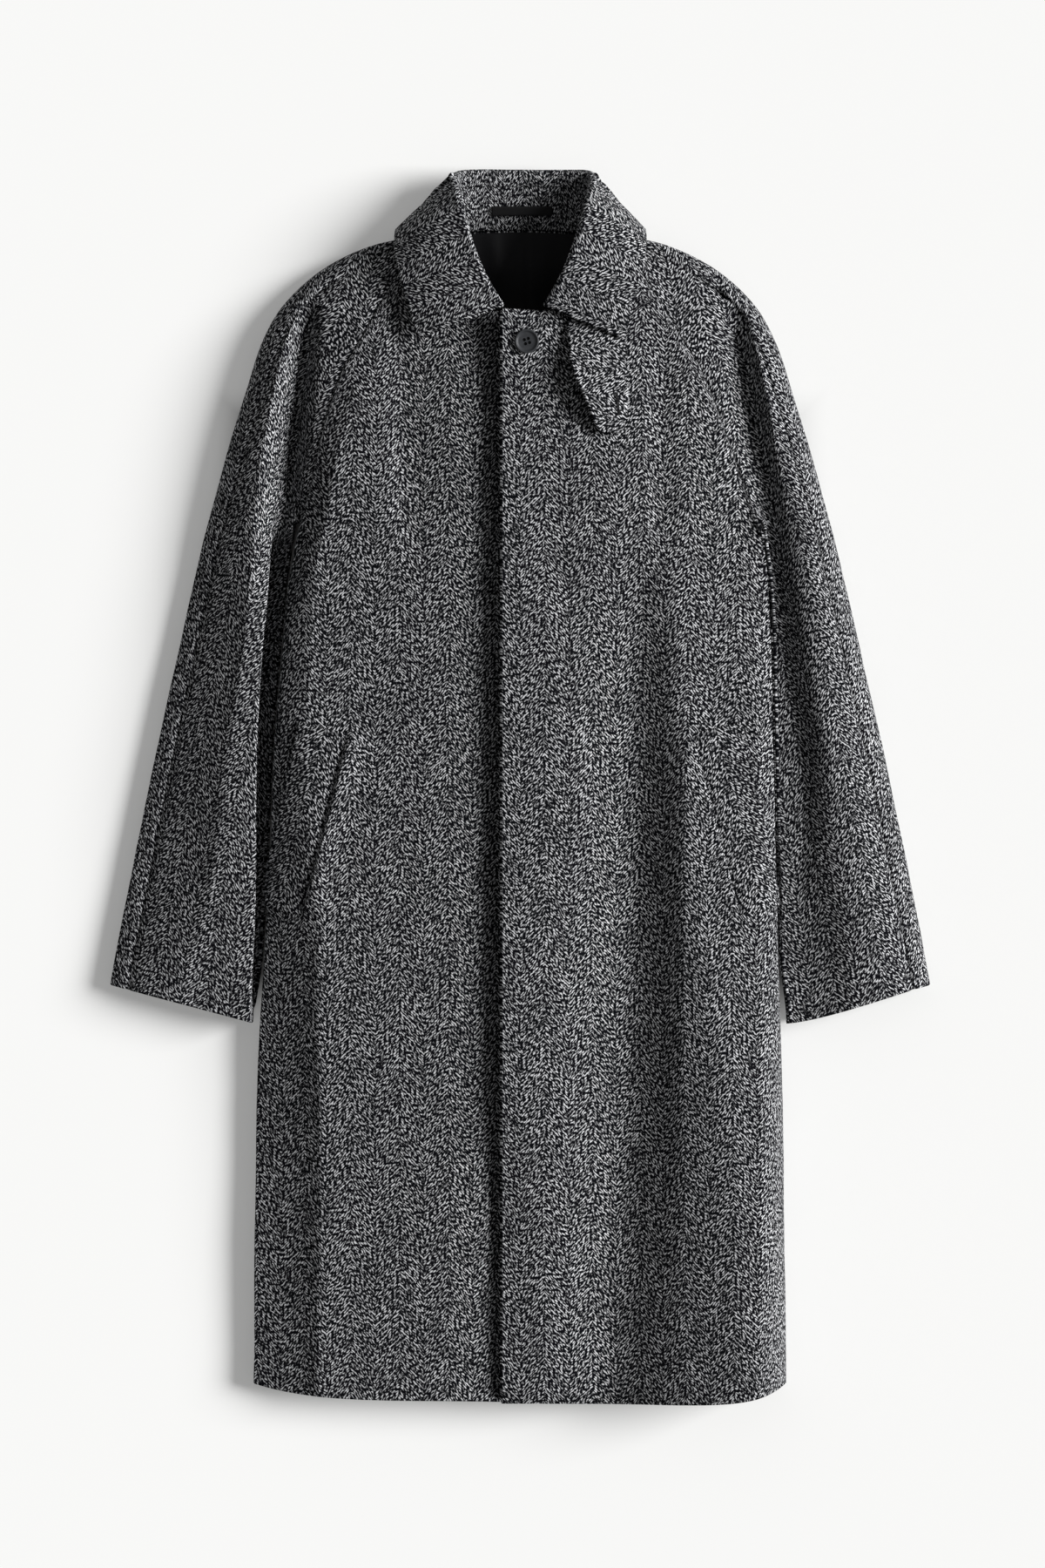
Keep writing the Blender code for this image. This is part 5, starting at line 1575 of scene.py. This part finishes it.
def tab_height(x, y, coat):
    """Height of the tab's outer skin over a plan point."""
    left, right = read(TAB_ROWS, "left", y), read(TAB_ROWS, "right", y)
    skin = front_skin(x, y, RIGHT)
    return skin[..., 2] + tab_rise(y, (x - left) / (right - left), coat.cloth.tab) + undulation(skin)


def buttonhole_paths(coat):
    """Both lips of the tab's buttonhole."""
    (x0, y0), (x1, y1) = BUTTONHOLE
    share = np.linspace(0, 1, BUTTONHOLE_POINTS)
    length = math.hypot(x1 - x0, y1 - y0)
    paths = []
    for lip in (-1, 1):
        x = x0 + (x1 - x0) * share + lip * BUTTONHOLE_HALF * (y0 - y1) / length
        y = y0 + (y1 - y0) * share + lip * BUTTONHOLE_HALF * (x1 - x0) / length
        paths.append(np.stack([x, y, tab_height(x, y, coat) + BUTTONHOLE_LIFT], axis=-1))
    return paths


def loop_paths(coat):
    """Tacks across both ends of the hanger loop."""
    grid = loop_grid(coat.cloth.tape)[0]
    paths = []
    for x in LOOP_TACKS:
        row = int(np.argmin(np.abs(grid[:, 0, 0] - x)))
        path = grid[row].copy()
        path[:, 2] += undulation(path) + LOOP_TACK_LIFT
        paths.append(path)
    return paths


def make_floor(stage):
    """Pale floor with a painted glow that lightens its own shadows, apart from the patch under the coat.
    """
    corners = [(x * FLOOR_HALF, y * FLOOR_HALF, FLOOR_Z) for x, y in ((-1, -1), (1, -1), (1, 1), (-1, 1))]
    floor = new_piece("floor", corners, [(0, 1, 2, 3)])
    made, shader = plain_material("pale_floor", 0.9, 0.0)
    shader.inputs["Base Color"].default_value = stage.floor
    tree = made.node_tree
    apart = add_node(tree, "ShaderNodeSeparateXYZ", (-700, 0), inputs={0: object_place(tree)})
    aside = calc(tree, (-500, 100), "ABSOLUTE", apart.outputs["X"])
    above = calc(tree, (-500, -100), "SUBTRACT", apart.outputs["Y"], SHADE_MIDDLE)
    above = calc(tree, (-400, -100), "ABSOLUTE", above)
    beside = map_range(tree, (-300, 100), aside, SHADE_HALF[0], SHADE_HALF[0] + SHADE_FADE, 0.0, 1.0)
    beyond = map_range(tree, (-300, -100), above, SHADE_HALF[1], SHADE_HALF[1] + SHADE_FADE, 0.0, 1.0)
    # Painted light: the floor glows outside the patch under the coat, lightening its cast shadows
    open_floor = calc(tree, (-200, 0), "MAXIMUM", beside, beyond)
    glow = mix_colour(tree, (-100, 0), open_floor, BLACK, PAINTED_FLOOR_GLOW)
    tree.links.new(glow, shader.inputs["Emission Color"])
    shader.inputs["Emission Strength"].default_value = stage.glow
    floor.data.materials.append(made)


def make_stage(scene, stage):
    """Pale floor, one soft main light with an even fill, and a camera straight above."""
    make_floor(stage)
    light = bpy.data.lights.new("main_light", "SUN")
    light.energy = stage.sun
    light.angle = stage.sun_width
    sun = bpy.data.objects.new("main_light", light)
    sun.rotation_euler = (0.0, math.pi / 2 - stage.sun_height, stage.sun_turn)
    scene.collection.objects.link(sun)

    world = bpy.data.worlds.new("fill_light")
    world.use_nodes = True
    sky = world.node_tree.nodes["Background"]
    sky.inputs["Color"].default_value = WHITE
    sky.inputs["Strength"].default_value = stage.sky
    scene.world = world

    lens = bpy.data.cameras.new("camera")
    lens.sensor_width = SENSOR
    lens.lens = SENSOR * (stage.distance - PICTURE_PLANE) / PHOTO_HEIGHT
    camera = bpy.data.objects.new("camera", lens)
    camera.location = (*PHOTO_CENTRE, stage.distance)
    scene.collection.objects.link(camera)
    scene.camera = camera
    scene.view_settings.view_transform = "Standard"


# Settings that a user would change


def length_setting(name, description, default):
    """A setting in metres."""
    return bpy.props.FloatProperty(
        name=name, description=description, default=default, unit="LENGTH", precision=5)


def angle_setting(name, description, degrees):
    """A setting shown in degrees."""
    return bpy.props.FloatProperty(
        name=name, description=description, default=math.radians(degrees), subtype="ANGLE")


def strength_setting(name, description, default):
    """A plain setting that is never negative."""
    return bpy.props.FloatProperty(name=name, description=description, default=default, min=0)


def colour_setting(name, description, default):
    """A colour setting."""
    return bpy.props.FloatVectorProperty(
        name=name, description=description, default=default, size=4, subtype="COLOR", min=0, max=1)


class ClothSizes(bpy.types.PropertyGroup):
    """Thicknesses of the coat's cloths."""

    wool: length_setting("Wool", "Thickness of the wool", 0.0024)
    fly: length_setting("Fly", "Thickness of the layers along the fly", 0.0042)
    collar: length_setting("Collar", "Thickness of the collar leaf", 0.0030)
    tab: length_setting("Tab", "Thickness of the throat tab", 0.0026)
    welt: length_setting("Welt", "Thickness of a pocket welt", 0.0022)
    lining: length_setting("Lining", "Thickness of the lining", 0.0010)
    tape: length_setting("Tape", "Thickness of the hanger tape", 0.0012)


class WeaveSizes(bpy.types.PropertyGroup):
    """Sizes of the herringbone weave."""

    column: length_setting("Column", "Width of one herringbone column", 0.0224)
    rise: length_setting("Rise", "Distance of the twill lines along the grain", 0.0026)
    run: length_setting("Run", "Distance of the twill lines across the grain", 0.0028)
    dash: length_setting("Dash", "Length across the grain of one float of yarn", 0.0023)


class CoatColours(bpy.types.PropertyGroup):
    """Colours of the coat's materials."""

    dark_yarn: colour_setting("Dark yarn", "Colour of the dark yarn", (0.0035, 0.0038, 0.0052, 1.0))
    light_yarn: colour_setting("Light yarn", "Colour of the light yarn", (0.625, 0.63, 0.645, 1.0))
    lining: colour_setting("Lining", "Colour of the satin lining", (0.0055, 0.0055, 0.0068, 1.0))
    tape: colour_setting("Tape", "Colour of the hanger tape", (0.010, 0.010, 0.011, 1.0))
    button: colour_setting("Button", "Colour of the button", (0.030, 0.032, 0.036, 1.0))
    thread: colour_setting("Thread", "Colour of the sewing thread", (0.012, 0.012, 0.014, 1.0))


class SewingSizes(bpy.types.PropertyGroup):
    """Sizes of the button and of the stitches that show."""

    button_radius: length_setting("Button radius", "Radius of the neck button", 0.0112)
    button_height: length_setting("Button height", "Height of the neck button", 0.0036)
    stitch: length_setting("Stitch", "Length of one stitch", 0.0026)
    pitch: length_setting("Stitch pitch", "Distance between stitches", 0.0042)
    thread: length_setting("Thread", "Thickness of the thread", 0.0006)


class StageSizes(bpy.types.PropertyGroup):
    """Light, floor and camera."""

    sun: strength_setting("Main light", "Strength of the main light", 5.1)
    sun_height: angle_setting("Light height", "Angle of the main light above the floor", 29)
    sun_turn: angle_setting("Light turn", "Turn of the main light from the right towards the collar", 8)
    sun_width: angle_setting("Light width", "Apparent size of the main light", 29)
    sky: strength_setting("Fill light", "Strength of the even fill light", 0.19)
    floor: colour_setting("Floor", "Colour of the floor", (0.75, 0.75, 0.741, 1.0))
    # Painted light that the floor emits to lighten its shadows
    glow: strength_setting("Floor glow", "Light that the floor adds to its own shadows", 0.21)
    distance: length_setting("Camera distance", "Height of the camera above the coat", 12.0)


class CoatSettings(bpy.types.PropertyGroup):
    """All settings of the coat and its stage."""

    cloth: bpy.props.PointerProperty(type=ClothSizes)
    weave: bpy.props.PointerProperty(type=WeaveSizes)
    colours: bpy.props.PointerProperty(type=CoatColours)
    sewing: bpy.props.PointerProperty(type=SewingSizes)
    stage: bpy.props.PointerProperty(type=StageSizes)


# Operators, one for each piece or group of like pieces


class COAT_OT_body(bpy.types.Operator):
    """Make both fronts and the back"""

    bl_idname = "coat.body"
    bl_label = "Fronts and back"

    def execute(self, context):
        coat = context.scene.coat
        wool = finish_of(coat, "herringbone_wool")
        grids = {side: front_grid(side) for side in SIDES}
        back = back_grid({side: grids[side][0][:, -1] for side in SIDES})
        back_seams = ("first_column", "last_column", "last_row")
        front_seams = ("last_row", "last_column")
        piece = shell("wool_back", back, coat.cloth.wool, 1, wool, back_seams)
        lay_cloth(piece, "back")
        for side in SIDES:
            grid = grids[side]
            thickness = coat.cloth.wool
            if side == RIGHT:
                fade = 1 - ease((grid[0][..., 0] - FLY_END_X) / FLY_FADE)
                thickness = thickness + (coat.cloth.fly - thickness) * fade
            piece = shell("wool_front_" + WORD[side], grid, thickness, -side, wool, front_seams)
            lay_cloth(piece, "front_" + WORD[side])
        return {"FINISHED"}


class COAT_OT_sleeves(bpy.types.Operator):
    """Make the front and back halves of both raglan sleeves"""

    bl_idname = "coat.sleeves"
    bl_label = "Sleeves"

    def execute(self, context):
        coat = context.scene.coat
        wool = finish_of(coat, "herringbone_wool")
        seams = ("first_column", "last_column")
        for side in SIDES:
            front = sleeve_front_grid(side)
            back = sleeve_back_grid(side, front[0], front[1])
            piece = shell("wool_sleeve_back_" + WORD[side], back, coat.cloth.wool, side, wool, seams)
            lay_cloth(piece, "sleeve_back_" + WORD[side])
            piece = shell("wool_sleeve_front_" + WORD[side], front, coat.cloth.wool, -side, wool, seams)
            lay_cloth(piece, "sleeve_front_" + WORD[side])
        return {"FINISHED"}


class COAT_OT_collar(bpy.types.Operator):
    """Make the collar leaf and the collar band"""

    bl_idname = "coat.collar"
    bl_label = "Collar"

    def execute(self, context):
        coat = context.scene.coat
        wool = finish_of(coat, "herringbone_wool")
        leaf, band = collar_grids()
        piece = shell("wool_collar_stand", band, coat.cloth.wool, 1, wool, ("last_column",))
        lay_cloth(piece, "collar_stand")
        piece = shell("wool_collar_fall", leaf, coat.cloth.collar, 1, wool, ("first_column",))
        lay_cloth(piece, "collar_fall")
        return {"FINISHED"}


class COAT_OT_neck_lining(bpy.types.Operator):
    """Make the lining and the hanger loop inside the neck"""

    bl_idname = "coat.neck_lining"
    bl_label = "Lining and hanger loop"

    def execute(self, context):
        coat = context.scene.coat
        lining = lining_grid(coat.cloth)
        piece = shell("satin_back_lining", lining, coat.cloth.lining, -1, finish_of(coat, "black_satin"))
        lay_cloth(piece, "back_lining")
        loop = loop_grid(coat.cloth.tape)
        piece = shell("tape_hanger_loop", loop, coat.cloth.tape, 1, finish_of(coat, "ribbed_tape"))
        attach(piece, "hanger_loop")
        return {"FINISHED"}


class COAT_OT_throat_tab(bpy.types.Operator):
    """Make the throat tab"""

    bl_idname = "coat.throat_tab"
    bl_label = "Throat tab"

    def execute(self, context):
        coat = context.scene.coat
        grid = tab_grid(coat.cloth.tab)
        piece = shell("wool_throat_tab", grid, coat.cloth.tab, -1, finish_of(coat, "herringbone_wool"))
        lay_cloth(piece, "throat_tab")
        return {"FINISHED"}


class COAT_OT_pocket_welts(bpy.types.Operator):
    """Make both slanted pocket welts"""

    bl_idname = "coat.pocket_welts"
    bl_label = "Pocket welts"

    def execute(self, context):
        coat = context.scene.coat
        wool = finish_of(coat, "herringbone_wool")
        for side in SIDES:
            grid = welt_grid(side, coat.cloth.welt)
            full = np.linspace(0, 1, grid[0].shape[1])
            thickness = coat.cloth.welt * (WELT_THIN + (1 - WELT_THIN) * ease(full / WELT_THIN))
            piece = shell("wool_pocket_welt_" + WORD[side], grid, thickness, side, wool)
            lay_cloth(piece, "pocket_welt_" + WORD[side])
        return {"FINISHED"}


class COAT_OT_neck_button(bpy.types.Operator):
    """Make the turned neck button with its thread"""

    bl_idname = "coat.neck_button"
    bl_label = "Neck button"

    def execute(self, context):
        make_button(context.scene.coat)
        return {"FINISHED"}


class COAT_OT_sewing(bpy.types.Operator):
    """Make the stitches that show"""

    bl_idname = "coat.sewing"
    bl_label = "Stitches"

    def execute(self, context):
        make_stitches(context.scene.coat)
        return {"FINISHED"}


class COAT_OT_stage(bpy.types.Operator):
    """Make the floor, the lights and the camera"""

    bl_idname = "coat.stage"
    bl_label = "Floor, light and camera"

    def execute(self, context):
        make_stage(context.scene, context.scene.coat.stage)
        return {"FINISHED"}


class COAT_PT_panel(bpy.types.Panel):
    """Steps that make the coat, in order"""

    bl_idname = "COAT_PT_panel"
    bl_label = "Car coat"
    bl_space_type = "VIEW_3D"
    bl_region_type = "UI"
    bl_category = "Coat"

    def draw(self, context):
        for step in STEPS:
            self.layout.operator(step.bl_idname)


STEPS = (
    COAT_OT_stage,
    COAT_OT_body,
    COAT_OT_sleeves,
    COAT_OT_collar,
    COAT_OT_neck_lining,
    COAT_OT_throat_tab,
    COAT_OT_pocket_welts,
    COAT_OT_neck_button,
    COAT_OT_sewing,
)
SETTINGS = (ClothSizes, WeaveSizes, CoatColours, SewingSizes, StageSizes, CoatSettings)
CLASSES = SETTINGS + STEPS + (COAT_PT_panel,)


def register():
    """Register the settings, the steps and the panel."""
    for made in CLASSES:
        bpy.utils.register_class(made)
    bpy.types.Scene.coat = bpy.props.PointerProperty(type=CoatSettings)


def unregister():
    """Remove the settings, the steps and the panel."""
    del bpy.types.Scene.coat
    for made in reversed(CLASSES):
        bpy.utils.unregister_class(made)


def main():
    """Make every piece in order."""
    register()
    for step in STEPS:
        group, name = step.bl_idname.split(".")
        getattr(getattr(bpy.ops, group), name)()


if __name__ == "__main__":
    main()
